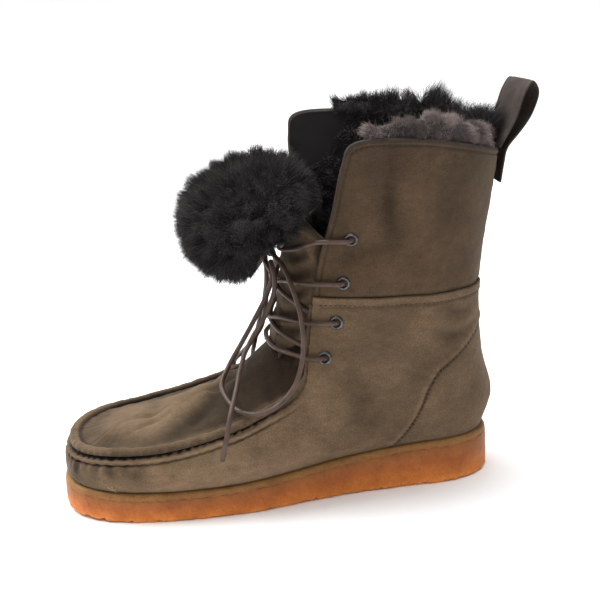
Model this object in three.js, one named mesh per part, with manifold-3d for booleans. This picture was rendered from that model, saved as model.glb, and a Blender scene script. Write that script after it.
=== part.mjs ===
// Moccasin boot for the right foot: suede upper lined with fleece, crepe wedge sole, folded fleece tongue.
// Millimetres, +Z up, toe towards -Y, inner (medial) side of the foot towards +X, floor at Z = 0.
import * as THREE from 'three';
import { mergeVertices } from 'three/addons/utils/BufferGeometryUtils.js';
import Module from 'manifold-3d';

const wasm = await Module();
wasm.setup();

const { lerp, smoothstep, degToRad } = THREE.MathUtils;

// Tables and sizes use three distances: "along" runs forward from the back of the sole,
// "out" runs away from the middle line of the foot and "up" rises from the floor.
const GAP = 0.3;
const SOLE = {
  length: 268, ballAlong: 172, ballHalf: 51, heelHalf: 34, heelRound: 40, toePower: 2.5,
  foreHeight: 18, heelHeight: 28, wedgeFrom: 30, wedgeTo: 190,
  springFrom: 215, toeSpring: 2.5, swingFrom: 120, toeSwing: 5,
  waistAlong: 108, waistSpan: 34, waistInner: 3.5, waistOuter: 1,
};
const MIDSOLE = { thick: 4.2, inset: 1.8 };
const INSOLE = { thick: 6, inset: 9.5 };
const FEATHER_INSET = 3;
const WALL = { foot: 5, fadeFrom: 0.1, fadeTo: 0.75 };
const SEAM = { backAlong: 6, backUp: 122, frontAlong: 117, frontUp: 128 };

// One row for each section of the upper, from the middle of the toe to the middle of the back.
// feather: where the section leaves the sole; top, out, up: its point on the upper edge;
// face: the way it faces in degrees, 90 at the toe and -90 at the heel; wall: thickness at the upper edge;
// b1 to b4: how far it swells beyond the straight line, at the heights in SWELL_AT;
// lean: how much further forward the outer flap stands than the inner one.
const SWELL_AT = [0, 0.12, 0.3, 0.55, 0.8, 1];
const SECTION_COLUMNS = ['feather', 'top', 'out', 'up', 'face', 'wall', 'b1', 'b2', 'b3', 'b4', 'lean'];
const SECTIONS = [
  [265.0, 262.5, 0.0, 40.5, 90, 3.2, 1.8, 3.0, 3.5, 2.3, 0],
  [259.5, 258.0, 22.5, 41.5, 62, 3.2, 1.8, 3.0, 3.6, 2.3, 0],
  [242.0, 242.0, 39.5, 43.0, 32, 3.2, 2.0, 3.5, 4.0, 2.4, 0],
  [215.0, 213.0, 48.2, 44.3, 9, 3.2, 2.2, 4.0, 4.6, 2.7, 0],
  [186.0, 182.0, 50.0, 49.5, 2, 3.2, 2.6, 4.6, 5.0, 3.0, 0],
  [158.0, 155.0, 48.5, 57.5, -3, 3.2, 3.0, 5.5, 6.0, 3.6, 0],
  [130.0, 124.0, 43.5, 73.0, -8, 3.2, 4.0, 7.0, 7.4, 4.4, 0],
  [107.0, 118.5, 39.5, 98.0, -10, 3.2, 5.0, 8.4, 8.8, 5.5, 0],
  [90.0, 115.0, 37.5, 124.0, -9, 3.2, 4.8, 8.4, 9.0, 5.5, 0],
  [74.0, 110.0, 39.0, 152.0, -8, 3.2, 4.4, 8.0, 8.3, 3.9, 1.5],
  [60.0, 103.5, 47.5, 180.0, -8, 3.2, 4.1, 6.1, 3.5, -1.3, 7],
  [47.0, 98.5, 56.5, 208.0, -9, 3.4, 3.2, 3.5, -0.7, -3.6, 12.5],
  [38.0, 90.0, 59.5, 222.5, -13, 5.5, 2.8, 1.4, -3.0, -4.2, 13],
  [24.0, 54.0, 54.0, 221.5, -30, 8.5, 3.4, 1.6, -1.8, -1.9, 5],
  [12.0, 17.5, 38.0, 213.0, -54, 8.5, 4.2, -0.8, -4.0, -2.0, 0],
  [5.0, -2.5, 19.5, 206.0, -74, 8.5, 4.8, -2.6, -5.8, -2.6, 0],
  [3.0, -9.5, 0.0, 203.0, -90, 8.5, 5.1, -3.3, -6.6, -2.9, 0],
].map((row) => Object.fromEntries(SECTION_COLUMNS.map((name, i) => [name, row[i]])));
const RING = 2 * (SECTIONS.length - 1);
const UPPER_STEPS = { round: 2, rise: 11 };

// The apron lies on the upper edge of the wall from the toe to the instep; crown is its rise in the middle.
const APRON = { thick: 3.3, from: 0.18, to: 5.58, steps: 14, across: 9, inset: 0.2 };
const APRON_CROWN = [0, 0.8, 3.6, 7.2, 10.2, 14, 23];

// The tongue from the end of the apron up to the fold: middle of its face, half width,
// how far its edges lie back and hang down, and its thickness.
const TONGUE_COLUMNS = ['along', 'up', 'half', 'back', 'drop', 'thick'];
const TONGUE = [
  [135.0, 91.0, 39, 1.0, 16, 3.0],
  [133.6, 100.0, 36, 9.0, 9, 4.0],
  [131.5, 112.0, 33, 14.0, 3, 5.0],
  [129.0, 126.0, 32, 15.0, 0, 5.5],
  [127.0, 142.0, 32, 15.0, 0, 5.5],
  [123.0, 158.0, 33, 13.0, 0, 5.5],
  [114.5, 169.0, 33, 9.0, 0, 5.5],
].map((row) => Object.fromEntries(TONGUE_COLUMNS.map((name, i) => [name, row[i]])));
const TONGUE_STEPS = { rise: 12, across: 9 };

// The folded fleece cuff: an oval in side view, carried across the boot and hollowed for tongue and knot.
const CUFF = {
  along: 146, up: 174.5, deep: 45, tall: 42, lean: 24, half: 57, power: 2.7, droop: 7, cleft: 5,
  across: 18, round: 20, flapAlong: 114, outerFlapAlong: 121, flapHalf: 33,
};
const CUFF_HOLLOW = [
  [80, 100], [143.5, 100], [143.5, 148], [138, 158], [123.0, 159.4], [114.9, 169.4], [112, 173], [80, 178],
];

// The pile above the collar: its section across the rim, from the face of the wall to the lining.
const FLEECE = { from: 12.3, outerFrom: 12.6, tall: 12, outerTall: 10, endTall: 0.35, steps: 26 };
const FLEECE_SECTION = [
  [0.45, 0], [0.38, 0.5], [0.45, 0.85], [0.65, 1], [0.9, 1], [1.2, 0.85], [1.3, 0.5], [1.15, 0],
];
const EYELETS = [[110, 92], [102, 113], [97, 137], [92, 164]];
const EYELET = { bore: 2.1, barrel: 2.7, flange: 4.2, lift: 0.7, high: 1.0, deep: 2.2, hole: 3.1 };
const LACE = { diameter: 3, sides: 8, lift: 4.2, step: 9.4, clear: 1.4, halfway: 9, beyond: 4 };
const KNOT = { along: 133.4, up: 151, wide: 7, deep: 3.4, high: 5 };

// The strap loop in side view, from the outside of the collar round to its top rim.
const LOOP_STRAP = { wide: 25, thick: 1.8 };
const LOOP_ROUTE = [
  [-8.3, 184], [-10.4, 196], [-12.2, 204], [-19, 214], [-26, 226], [-29.5, 238], [-25.5, 243.8],
  [-20, 238], [-15.5, 226.5], [-12.4, 215], [-10, 208.7], [-8.1, 205.4],
];

const LOOP_INNER = [
  [134, 7.7, 150.2], [129.5, 19, 145], [126, 33, 134], [123, 44, 117], [124, 49, 95], [131, 53, 78],
  [143, 54.5, 67.5], [155, 53, 64.2], [164, 44, 65], [169, 31, 69.4], [169.5, 18, 73.8],
  [163.5, 10, 82], [155, 8.5, 95], [145.5, 9, 111], [138.5, 11, 125], [135, 11.5, 137],
  [137.6, 5.6, 144.6],
];
const END_INNER = [
  [135.4, 12.2, 146.3], [134.3, 17.5, 138.5], [135, 19.5, 129.5], [138.5, 20, 120], [143.5, 20.5, 111],
  [148.5, 21.5, 104], [152.5, 24, 98.5], [156, 27, 93.5], [158.5, 31, 88], [161, 35.5, 82.5],
  [163, 40, 77.5], [165.2, 45, 73], [167.5, 50, 69.2], [169.5, 54, 64.5], [171.3, 56.8, 58.8],
  [172.8, 57.9, 52.5], [174.4, 58.2, 45.8], [176, 58.2, 39.2],
];
const LOOP_OUTER = [
  [134, -7.7, 150.2], [129.5, -19, 145], [126, -33, 134], [123, -44, 117], [122.5, -48.5, 97],
  [124.5, -50.5, 80], [128, -52, 66], [132, -54, 54.5], [138, -55.6, 46.5], [145, -56, 45.5],
  [150.7, -55.6, 50.3], [153.3, -54.3, 57.5], [153.2, -51.6, 64], [151.5, -46.5, 68.5],
  [148.5, -39.5, 74], [145, -31.5, 81], [141.5, -24, 89], [138.5, -17.5, 97.5], [136.3, -14.2, 110],
  [135, -12.5, 124], [135.2, -11, 137], [137.6, -5.6, 144.6],
];
const END_OUTER = [
  [135.4, -12.2, 146.3], [134.2, -18, 138.5], [133.8, -20.5, 129], [134.4, -22, 120], [135.5, -24, 111],
  [137, -27, 102.5], [138.5, -31, 95], [139.5, -35.2, 88], [140.3, -40, 81], [140.8, -44.5, 75.2],
  [141, -48.5, 71], [141, -52, 67], [141, -54.4, 62], [141, -55.3, 57.5], [141, -55.6, 53],
];

const COLOUR = {
  crepe: 0xc4762c, rim: 0xa08a4c, suede: 0x93877b, apron: 0x8d8276, fleece: 0x2c2623, lining: 0x4a4038,
  strap: 0x3a2a22, lace: 0x53372a, metal: 0x8f8f94,
};

function place(along, out, up) {
  const reach = Math.max(0, (along - SOLE.swingFrom) / (SOLE.length - SOLE.swingFrom));
  return new THREE.Vector3(out + SOLE.toeSwing * reach * reach, SOLE.length / 2 - along, up);
}

// Half width of the sole outline, drawn in by an inset; side is 1 on the inner edge and -1 on the outer.
function soleHalf(along, inset, side) {
  const { heelRound, heelHalf, ballAlong, ballHalf, toePower, length } = SOLE;
  const waist = side > 0 ? SOLE.waistInner : SOLE.waistOuter;
  const pinch = waist * Math.exp(-(((along - SOLE.waistAlong) / SOLE.waistSpan) ** 2));
  if (along < heelRound) {
    const back = (heelRound - along) / (heelRound - inset);
    return (heelHalf - inset - pinch) * Math.sqrt(Math.max(0, 1 - back * back));
  }
  const body = lerp(heelHalf, ballHalf, smoothstep(along, heelRound, ballAlong)) - inset - pinch;
  const front = Math.max(0, along - ballAlong) / (length - inset - ballAlong);
  return body * Math.max(0, 1 - front ** toePower) ** (1 / toePower);
}

function soleBottom(along) {
  const reach = Math.max(0, (along - SOLE.springFrom) / (SOLE.length - SOLE.springFrom));
  return SOLE.toeSpring * reach * reach;
}

function soleTop(along) {
  const fall = smoothstep(along, SOLE.wedgeFrom, SOLE.wedgeTo);
  return lerp(SOLE.heelHeight, SOLE.foreHeight, fall) + soleBottom(along);
}

// Cubic through unevenly spaced values, with finite-difference slopes.
function through(knots, values, at) {
  let i = 0;
  while (i < knots.length - 2 && at > knots[i + 1]) i += 1;
  const slope = (k) => {
    const before = Math.max(0, k - 1);
    const after = Math.min(knots.length - 1, k + 1);
    return (values[after] - values[before]) / (knots[after] - knots[before]);
  };
  const width = knots[i + 1] - knots[i];
  const t = (at - knots[i]) / width;
  const rest = (values[i + 1] - values[i]) * t * t * (3 - 2 * t);
  return values[i] + rest + width * (slope(i) * t * (1 - t) * (1 - t) + slope(i + 1) * t * t * (t - 1));
}

// Catmull-Rom blend of four neighbours.
function blend(a, b, c, d, t) {
  const run = (c - a) * t + (2 * a - 5 * b + 4 * c - d) * t * t + (3 * b - a - 3 * c + d) * t * t * t;
  return b + run / 2;
}

// Point of section i of the closed ring: the inner side runs toe to heel, the outer side heel to toe.
function sectionPoint(i, v) {
  const index = ((i % RING) + RING) % RING;
  const side = index <= RING / 2 ? 1 : -1;
  const row = SECTIONS[Math.min(index, RING - index)];
  const foot = soleHalf(row.feather, FEATHER_INSET, side);
  const swell = through(SWELL_AT, [0, row.b1, row.b2, row.b3, row.b4, 0], v);
  const face = degToRad(row.face);
  const top = row.top + (side < 0 ? row.lean : 0);
  return [
    lerp(row.feather, top, v) + swell * Math.sin(face),
    side * (lerp(foot, row.out, v) + swell * Math.cos(face)),
    lerp(soleTop(row.feather) + GAP, row.up, v),
  ];
}

function upperAt(u, v) {
  const i = Math.floor(u);
  const near = [-1, 0, 1, 2].map((k) => sectionPoint(i + k, v));
  const along = [0, 1, 2].map((axis) => blend(...near.map((p) => p[axis]), u - i));
  return place(...along);
}

function upperNormal(u, v) {
  const d = 0.01;
  const round = upperAt(u + d, v).sub(upperAt(u - d, v));
  const rise = upperAt(u, Math.min(1, v + d)).sub(upperAt(u, Math.max(0, v - d)));
  return round.cross(rise).normalize();
}

function wallAt(u, v) {
  const i = Math.floor(u);
  const edge = [i, i + 1].map((k) => {
    const index = ((k % RING) + RING) % RING;
    return SECTIONS[Math.min(index, RING - index)].wall;
  });
  return lerp(WALL.foot, lerp(edge[0], edge[1], u - i), smoothstep(v, WALL.fadeFrom, WALL.fadeTo));
}

function innerAt(u, v) {
  const point = upperAt(u, v).addScaledVector(upperNormal(u, v), -wallAt(u, v));
  if (v === 0) point.z = upperAt(u, 0).z;
  return point;
}

// Ring position and height on the upper that lie at a given place in side view.
function findOnUpper(along, up, side) {
  const y = SOLE.length / 2 - along;
  let best = { miss: Infinity };
  let centre = { u: 9, v: 0.6 };
  for (let span = 6, pass = 0; pass < 6; pass += 1, span /= 4) {
    for (let a = -8; a <= 8; a += 1) {
      for (let b = -8; b <= 8; b += 1) {
        const u = centre.u + (span * a) / 8;
        const v = THREE.MathUtils.clamp(centre.v + (span * b) / 80, 0, 1);
        const point = upperAt(side > 0 ? u : RING - u, v);
        const miss = Math.hypot(point.y - y, point.z - up);
        if (miss < best.miss) best = { miss, u, v };
      }
    }
    centre = best;
  }
  return { u: side > 0 ? best.u : RING - best.u, v: best.v };
}

function onUpper(along, up, side, lift) {
  const { u, v } = findOnUpper(along, up, side);
  return upperAt(u, v).addScaledVector(upperNormal(u, v), lift);
}

// Six times the volume inside a skin, negative where its faces point inwards.
function signedVolume(positions, faces) {
  const corner = (i) => new THREE.Vector3().fromArray(positions, 3 * faces[i]);
  let total = 0;
  for (let i = 0; i < faces.length; i += 3) {
    total += corner(i).dot(corner(i + 1).cross(corner(i + 2)));
  }
  return total;
}

// Closed skin over a row of equal loops. Point k of a loop faces point (last - k), so the two ends
// are closed by strips; a row that closes on itself has no ends.
function loft(loops, closed = false) {
  const count = loops[0].length;
  const positions = loops.flat().flatMap((p) => [p.x, p.y, p.z]);
  const faces = [];
  const quad = (a, b, c, d) => faces.push(a, b, c, a, c, d);
  const rows = closed ? loops.length : loops.length - 1;
  for (let i = 0; i < rows; i += 1) {
    const here = i * count;
    const next = ((i + 1) % loops.length) * count;
    for (let k = 0; k < count; k += 1) {
      const after = (k + 1) % count;
      quad(here + k, here + after, next + after, next + k);
    }
  }
  const last = (loops.length - 1) * count;
  for (let k = 0; !closed && k < count / 2 - 1; k += 1) {
    const far = count - 1 - k;
    quad(k, far, far - 1, k + 1);
    quad(last + k, last + k + 1, last + far - 1, last + far);
  }
  const geometry = new THREE.BufferGeometry();
  geometry.setAttribute('position', new THREE.Float32BufferAttribute(positions, 3));
  geometry.setIndex(signedVolume(positions, faces) < 0 ? faces.reverse() : faces);
  return geometry;
}

function toManifold(geometry) {
  const bare = geometry.clone();
  bare.deleteAttribute('normal');
  bare.deleteAttribute('uv');
  const welded = mergeVertices(bare, 1e-4);
  const corners = Array.from(welded.index.array);
  const triVerts = [];
  for (let i = 0; i < corners.length; i += 3) {
    const [a, b, c] = corners.slice(i, i + 3);
    if (a !== b && b !== c && c !== a) triVerts.push(a, b, c);
  }
  const solid = new wasm.Manifold(new wasm.Mesh({
    numProp: 3,
    vertProperties: new Float32Array(welded.attributes.position.array),
    triVerts: new Uint32Array(triVerts),
  }));
  return solid;
}

function toGeometry(solid) {
  const { numProp, vertProperties, triVerts } = solid.getMesh();
  const positions = [];
  for (let i = 0; i < vertProperties.length; i += numProp) {
    positions.push(...vertProperties.slice(i, i + 3));
  }
  const geometry = new THREE.BufferGeometry();
  geometry.setAttribute('position', new THREE.Float32BufferAttribute(positions, 3));
  geometry.setIndex(Array.from(triVerts));
  geometry.computeVertexNormals();
  return geometry;
}

// Prism across the whole boot whose outline is given in side view as [along, up] points.
function sidePrism(outline, half) {
  const shape = new THREE.Shape(outline.map(([along, up]) => new THREE.Vector2(along, up)));
  const geometry = new THREE.ExtrudeGeometry(shape, { depth: 2 * half, bevelEnabled: false, steps: 1 });
  const basis = new THREE.Matrix4().makeBasis(
    new THREE.Vector3(0, -1, 0),
    new THREE.Vector3(0, 0, 1),
    new THREE.Vector3(-1, 0, 0),
  );
  basis.setPosition(half, SOLE.length / 2, 0);
  return geometry.applyMatrix4(basis);
}

// Stations of the sole outline, close together round the heel and the toe.
function soleStations(inset) {
  const { heelRound, ballAlong, toePower, length } = SOLE;
  const stations = [];
  for (let i = 0; i < 7; i += 1) {
    stations.push(inset + (heelRound - inset) * (1 - Math.cos((i / 7) * (Math.PI / 2))));
  }
  for (let i = 0; i < 8; i += 1) stations.push(lerp(heelRound, ballAlong, i / 8));
  for (let i = 0; i <= 10; i += 1) {
    const turn = Math.sin((i / 10) * (Math.PI / 2)) ** (2 / toePower);
    stations.push(lerp(ballAlong, length - inset, turn));
  }
  return stations;
}

function soleLoop(inset, height) {
  const stations = soleStations(inset);
  const inner = stations.map((along) => place(along, soleHalf(along, inset, 1), height(along)));
  const outer = stations.map((along) => place(along, -soleHalf(along, inset, -1), height(along)));
  return [...inner, ...outer.reverse()];
}

function makeOutsole() {
  const top = (along) => soleTop(along) - MIDSOLE.thick - GAP;
  return loft([
    soleLoop(2.6, soleBottom),
    soleLoop(0.6, (along) => soleBottom(along) + 2),
    soleLoop(0, (along) => soleBottom(along) + 4.5),
    soleLoop(0.2, (along) => top(along) - 1.2),
    soleLoop(1.2, top),
  ]);
}

function makeMidsole() {
  const bottom = (along) => soleTop(along) - MIDSOLE.thick;
  return loft([
    soleLoop(MIDSOLE.inset, bottom),
    soleLoop(MIDSOLE.inset - 0.4, (along) => bottom(along) + MIDSOLE.thick / 2),
    soleLoop(MIDSOLE.inset + 0.3, soleTop),
  ]);
}

function makeInsole() {
  const bottom = (along) => soleTop(along) + GAP;
  return loft([
    soleLoop(INSOLE.inset, bottom),
    soleLoop(INSOLE.inset, (along) => bottom(along) + INSOLE.thick - 1),
    soleLoop(INSOLE.inset + 2, (along) => bottom(along) + INSOLE.thick),
  ]);
}

function makeWholeUpper() {
  const { round, rise } = UPPER_STEPS;
  const loops = [];
  for (let i = 0; i < RING * round; i += 1) {
    const u = i / round;
    const face = [];
    const lining = [];
    for (let k = 0; k <= rise; k += 1) {
      face.push(upperAt(u, k / rise));
      lining.push(innerAt(u, k / rise));
    }
    loops.push([...face, ...lining.reverse()]);
  }
  let solid = toManifold(loft(loops, true));
  for (const side of [1, -1]) {
    for (const [along, up] of EYELETS) {
      const hole = new THREE.CylinderGeometry(EYELET.hole, EYELET.hole, 24, 10);
      solid = solid.subtract(toManifold(seatOnUpper(hole, along, up, side)));
    }
  }
  return solid;
}

// Everything below the level seam between upper and shaft, shifted up or down by half the gap.
function belowSeam(shift) {
  const pitch = (SEAM.frontUp - SEAM.backUp) / (SEAM.frontAlong - SEAM.backAlong);
  const seamUp = (along) => SEAM.backUp + pitch * (along - SEAM.backAlong) + shift;
  const outline = [[-60, -10], [320, -10], [320, seamUp(320)], [-60, seamUp(-60)]];
  return toManifold(sidePrism(outline, 120));
}

// Puts a shape turned about +Y onto the outside of the upper, its axis square to the surface.
function seatOnUpper(geometry, along, up, side) {
  const { u, v } = findOnUpper(along, up, side);
  const turn = new THREE.Quaternion().setFromUnitVectors(new THREE.Vector3(0, 1, 0), upperNormal(u, v));
  return geometry.applyMatrix4(new THREE.Matrix4().compose(upperAt(u, v), turn, new THREE.Vector3(1, 1, 1)));
}

function makeEyelet(along, up, side) {
  const { bore, barrel, flange, lift, high, deep } = EYELET;
  const profile = [
    [bore, -deep], [barrel, -deep], [barrel, lift], [flange, lift], [flange - 0.5, lift + high],
    [bore + 0.5, lift + high], [bore, lift + 0.5], [bore, -deep],
  ].map(([radius, height]) => new THREE.Vector2(radius, height));
  return seatOnUpper(new THREE.LatheGeometry(profile, 10), along, up, side);
}

function makeApron() {
  const loops = [];
  for (let i = 0; i <= APRON.steps; i += 1) {
    const u = lerp(APRON.from, APRON.to, i / APRON.steps);
    const inner = upperAt(u, 1);
    const outer = upperAt(RING - u, 1);
    const row = Math.min(Math.floor(u), APRON_CROWN.length - 2);
    const crown = lerp(APRON_CROWN[row], APRON_CROWN[row + 1], u - row);
    const face = [];
    const under = [];
    for (let k = 0; k < APRON.across; k += 1) {
      const w = (2 * k) / (APRON.across - 1) - 1;
      const point = inner.clone().lerp(outer, (1 - w) / 2);
      point.x -= w * APRON.inset;
      point.z += 2 * GAP + crown * (1 - Math.abs(w) ** 2.2);
      under.push(point);
      face.push(point.clone().setZ(point.z + APRON.thick));
    }
    loops.push([...face, ...under.reverse()]);
  }
  return loft(loops);
}

function tongueColumn(name, v) {
  const at = v * (TONGUE.length - 1);
  const i = Math.min(Math.floor(at), TONGUE.length - 2);
  const near = [i - 1, i, i + 1, i + 2].map((k) => {
    const row = TONGUE[THREE.MathUtils.clamp(k, 0, TONGUE.length - 1)];
    return row[name];
  });
  return blend(...near, at - i);
}

// Point on the tongue: v from the instep to the fold, w across it, depth below its face.
function tongueAt(v, w, depth) {
  const d = 0.01;
  const rise = new THREE.Vector2(
    tongueColumn('along', Math.min(1, v + d)) - tongueColumn('along', Math.max(0, v - d)),
    tongueColumn('up', Math.min(1, v + d)) - tongueColumn('up', Math.max(0, v - d)),
  ).normalize();
  const back = tongueColumn('back', v) * w * w + depth;
  return place(
    tongueColumn('along', v) - back * rise.y,
    w * tongueColumn('half', v),
    tongueColumn('up', v) + back * rise.x - tongueColumn('drop', v) * w * w,
  );
}

function makeTongue() {
  const loops = [];
  for (let i = 0; i <= TONGUE_STEPS.rise; i += 1) {
    const v = i / TONGUE_STEPS.rise;
    const face = [];
    const fleece = [];
    for (let k = 0; k < TONGUE_STEPS.across; k += 1) {
      const w = 1 - (2 * k) / (TONGUE_STEPS.across - 1);
      face.push(tongueAt(v, w, 0));
      fleece.push(tongueAt(v, w, tongueColumn('thick', v) * (1 - 0.4 * w * w)));
    }
    loops.push([...face, ...fleece.reverse()]);
  }
  return loft(loops);
}

function makeCuff() {
  const lean = degToRad(CUFF.lean);
  const loops = [];
  for (let i = 0; i <= CUFF.across; i += 1) {
    const w = -0.985 * Math.cos((i / CUFF.across) * Math.PI);
    const size = Math.max(0.05, 1 - Math.abs(w) ** CUFF.power) ** (1 / CUFF.power);
    const drop = CUFF.droop * w * w + CUFF.cleft * Math.exp(-((w / 0.22) ** 2));
    const loop = [];
    for (let k = 0; k < CUFF.round; k += 1) {
      const turn = ((k + 0.5) / CUFF.round) * 2 * Math.PI;
      const deep = CUFF.deep * size * Math.cos(turn);
      const tall = CUFF.tall * size * Math.sin(turn);
      loop.push(place(
        CUFF.along + deep * Math.cos(lean) - tall * Math.sin(lean),
        w * CUFF.half,
        CUFF.up - drop * (tall > 0 ? 1 : 0.4) + tall * Math.cos(lean) + deep * Math.sin(lean) * 0.4,
      ));
    }
    loops.push(loop.reverse());
  }
  let solid = toManifold(loft(loops)).subtract(toManifold(sidePrism(CUFF_HOLLOW, 90)));
  for (const side of [1, -1]) {
    const flap = new THREE.BoxGeometry(60, 80, 120);
    const flapAlong = side > 0 ? CUFF.flapAlong : CUFF.outerFlapAlong;
    flap.translate(side * (CUFF.flapHalf + 30), SOLE.length / 2 - flapAlong + 40, CUFF.up);
    solid = solid.subtract(toManifold(flap));
  }
  return solid;
}

function makeCollarFleece() {
  const loops = [];
  for (let i = 0; i <= FLEECE.steps; i += 1) {
    const u = lerp(FLEECE.from, RING - FLEECE.outerFrom, i / FLEECE.steps);
    const rim = upperAt(u, 1);
    const lining = innerAt(u, 1);
    const end = Math.min(1, FLEECE.endTall + 4 * Math.min(i, FLEECE.steps - i) / FLEECE.steps);
    const across = smoothstep(i / FLEECE.steps, 0.4, 0.7);
    const height = lerp(FLEECE.tall, FLEECE.outerTall, across);
    loops.push(FLEECE_SECTION.map(([inward, tall]) => {
      const point = rim.clone().lerp(lining, inward);
      point.z += 3 * GAP + height * end * tall;
      return point;
    }));
  }
  return loft(loops);
}

function makePullLoop() {
  const route = new THREE.CatmullRomCurve3(
    LOOP_ROUTE.map(([along, up]) => new THREE.Vector3(along, up, 0)),
    false,
    'centripetal',
  );
  const count = 40;
  const loops = [];
  for (const x of [-LOOP_STRAP.wide / 2, LOOP_STRAP.wide / 2]) {
    const near = [];
    const far = [];
    for (let i = 0; i <= count; i += 1) {
      const point = route.getPoint(i / count);
      const run = route.getTangent(i / count);
      const half = LOOP_STRAP.thick / 2;
      near.push(place(point.x - run.y * half, x, point.y + run.x * half));
      far.push(place(point.x + run.y * half, x, point.y - run.x * half));
    }
    loops.push([...near, ...far.reverse()]);
  }
  return loft(loops);
}

function cordSection(diameter) {
  const corners = [];
  for (let i = 0; i < LACE.sides; i += 1) {
    const turn = ((i + 0.5) / LACE.sides) * 2 * Math.PI;
    corners.push(new THREE.Vector2(Math.cos(turn), Math.sin(turn)).multiplyScalar(diameter / 2));
  }
  return new THREE.Shape(corners);
}

function makeCord(points) {
  const path = new THREE.CatmullRomCurve3(points, false, 'centripetal');
  const steps = Math.ceil(path.getLength() / LACE.step);
  return new THREE.ExtrudeGeometry(cordSection(LACE.diameter), {
    steps,
    bevelEnabled: false,
    extrudePath: path,
  });
}

// Lace over the face of the tongue at one height, w across it.
function overTongue(up, w) {
  const depth = -(LACE.diameter / 2 + LACE.clear);
  let v = 0;
  while (v < 1 && tongueAt(v, w, depth).z < up) v += 0.005;
  return tongueAt(v, w, depth);
}

// Ring position where the front edge of a flap reaches a height.
function flapEdge(up, side) {
  let [low, high] = [6, 12];
  while (high - low > 1e-3) {
    const middle = (low + high) / 2;
    if (upperAt(middle, 1).z < up) low = middle;
    else high = middle;
  }
  return side > 0 ? low : RING - low;
}

// Lace from an eyelet over the front edge of its flap and a little beyond it.
function overFlap([along, up], side) {
  const u = flapEdge(up, side);
  const square = upperNormal(u, 1).multiplyScalar(LACE.diameter / 2 + LACE.clear);
  const edge = upperAt(u, 1).add(square);
  const run = upperAt(u, 1).sub(upperAt(u, 0.95)).setZ(0).normalize();
  return [
    onUpper(along, up, side, LACE.lift),
    onUpper(along + LACE.halfway, up, side, LACE.lift - 0.6),
    edge.addScaledVector(run, LACE.beyond),
  ];
}

function makeLowerBar() {
  const [first] = EYELETS;
  const up = first[1] + 1;
  return makeCord([
    ...overFlap(first, 1), overTongue(up, 0.88), overTongue(up, 0.5), overTongue(up, 0),
    overTongue(up, -0.5), overTongue(up, -0.88), ...overFlap(first, -1).reverse(),
  ]);
}

function makeCrossing(lower, upper) {
  const strands = [1, -1].map((side) => {
    const low = lower[1] + 9;
    const middle = (low + upper[1]) / 2;
    return toManifold(makeCord([
      overTongue(low, -0.8 * side), overTongue(middle - 3, -0.4 * side), overTongue(middle, 0),
      overTongue(middle + 4, 0.45 * side),
      ...overFlap(upper, side).reverse(),
    ]));
  });
  return strands[0].add(strands[1]);
}

function makeTopBar() {
  const last = EYELETS[EYELETS.length - 1];
  return makeCord([
    ...overFlap(last, 1), overTongue(155, 0.7), overTongue(KNOT.up, 0), overTongue(155, -0.7),
    ...overFlap(last, -1).reverse(),
  ]);
}

function makeKnot() {
  const knot = new THREE.SphereGeometry(1, 12, 8);
  knot.scale(KNOT.wide, KNOT.deep, KNOT.high);
  const centre = place(KNOT.along, 0, KNOT.up);
  return knot.translate(centre.x, centre.y, centre.z);
}

const boot = new THREE.Group();
boot.name = 'moccasin_boot';

function addPiece(name, shape, colour, roughness, metalness = 0) {
  const solid = shape instanceof THREE.BufferGeometry ? toManifold(shape) : shape;
  const material = new THREE.MeshStandardMaterial({ color: colour, roughness, metalness });
  const mesh = new THREE.Mesh(toGeometry(solid), material);
  mesh.name = name;
  boot.add(mesh);
}

const route = (points) => makeCord(points.map((point) => place(...point)));
const wholeUpper = makeWholeUpper();

addPiece('outsole', makeOutsole(), COLOUR.crepe, 0.7);
addPiece('midsole', makeMidsole(), COLOUR.rim, 0.7);
addPiece('insole', makeInsole(), COLOUR.lining, 1);
addPiece('upper', wholeUpper.intersect(belowSeam(-GAP / 2)), COLOUR.suede, 0.95);
addPiece('shaft', wholeUpper.subtract(belowSeam(GAP / 2)), COLOUR.suede, 0.95);
addPiece('apron', makeApron(), COLOUR.apron, 0.95);
addPiece('tongue', makeTongue(), COLOUR.suede, 0.95);
addPiece('tongue_cuff', makeCuff(), COLOUR.fleece, 1);
addPiece('collar_fleece', makeCollarFleece(), COLOUR.fleece, 1);
addPiece('pull_loop', makePullLoop(), COLOUR.strap, 0.7);
for (const [label, side] of [['inner', 1], ['outer', -1]]) {
  EYELETS.forEach(([along, up], i) => {
    addPiece(`eyelet_${label}_${i + 1}`, makeEyelet(along, up, side), COLOUR.metal, 0.35, 1);
  });
}
addPiece('lace_bar_lower', makeLowerBar(), COLOUR.lace, 0.6);
addPiece('lace_crossing_1', makeCrossing(EYELETS[0], EYELETS[1]), COLOUR.lace, 0.6);
addPiece('lace_crossing_2', makeCrossing(EYELETS[1], EYELETS[2]), COLOUR.lace, 0.6);
addPiece('lace_bar_top', makeTopBar(), COLOUR.lace, 0.6);
addPiece('lace_knot', makeKnot(), COLOUR.lace, 0.6);
addPiece('lace_loop_inner', route(LOOP_INNER), COLOUR.lace, 0.6);
addPiece('lace_loop_outer', route(LOOP_OUTER), COLOUR.lace, 0.6);
addPiece('lace_end_inner', route(END_INNER), COLOUR.lace, 0.6);
addPiece('lace_end_outer', route(END_OUTER), COLOUR.lace, 0.6);

export default boot;
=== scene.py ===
"""Looks of the moccasin boot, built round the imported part.

Tables are in millimetres in the boot's own directions, as in the part: "along" runs forward from the
back of the sole, "out" away from the middle line (inner side positive) and "up" from the floor.
"""

import bpy
import numpy as np
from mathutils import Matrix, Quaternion, Vector


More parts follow.
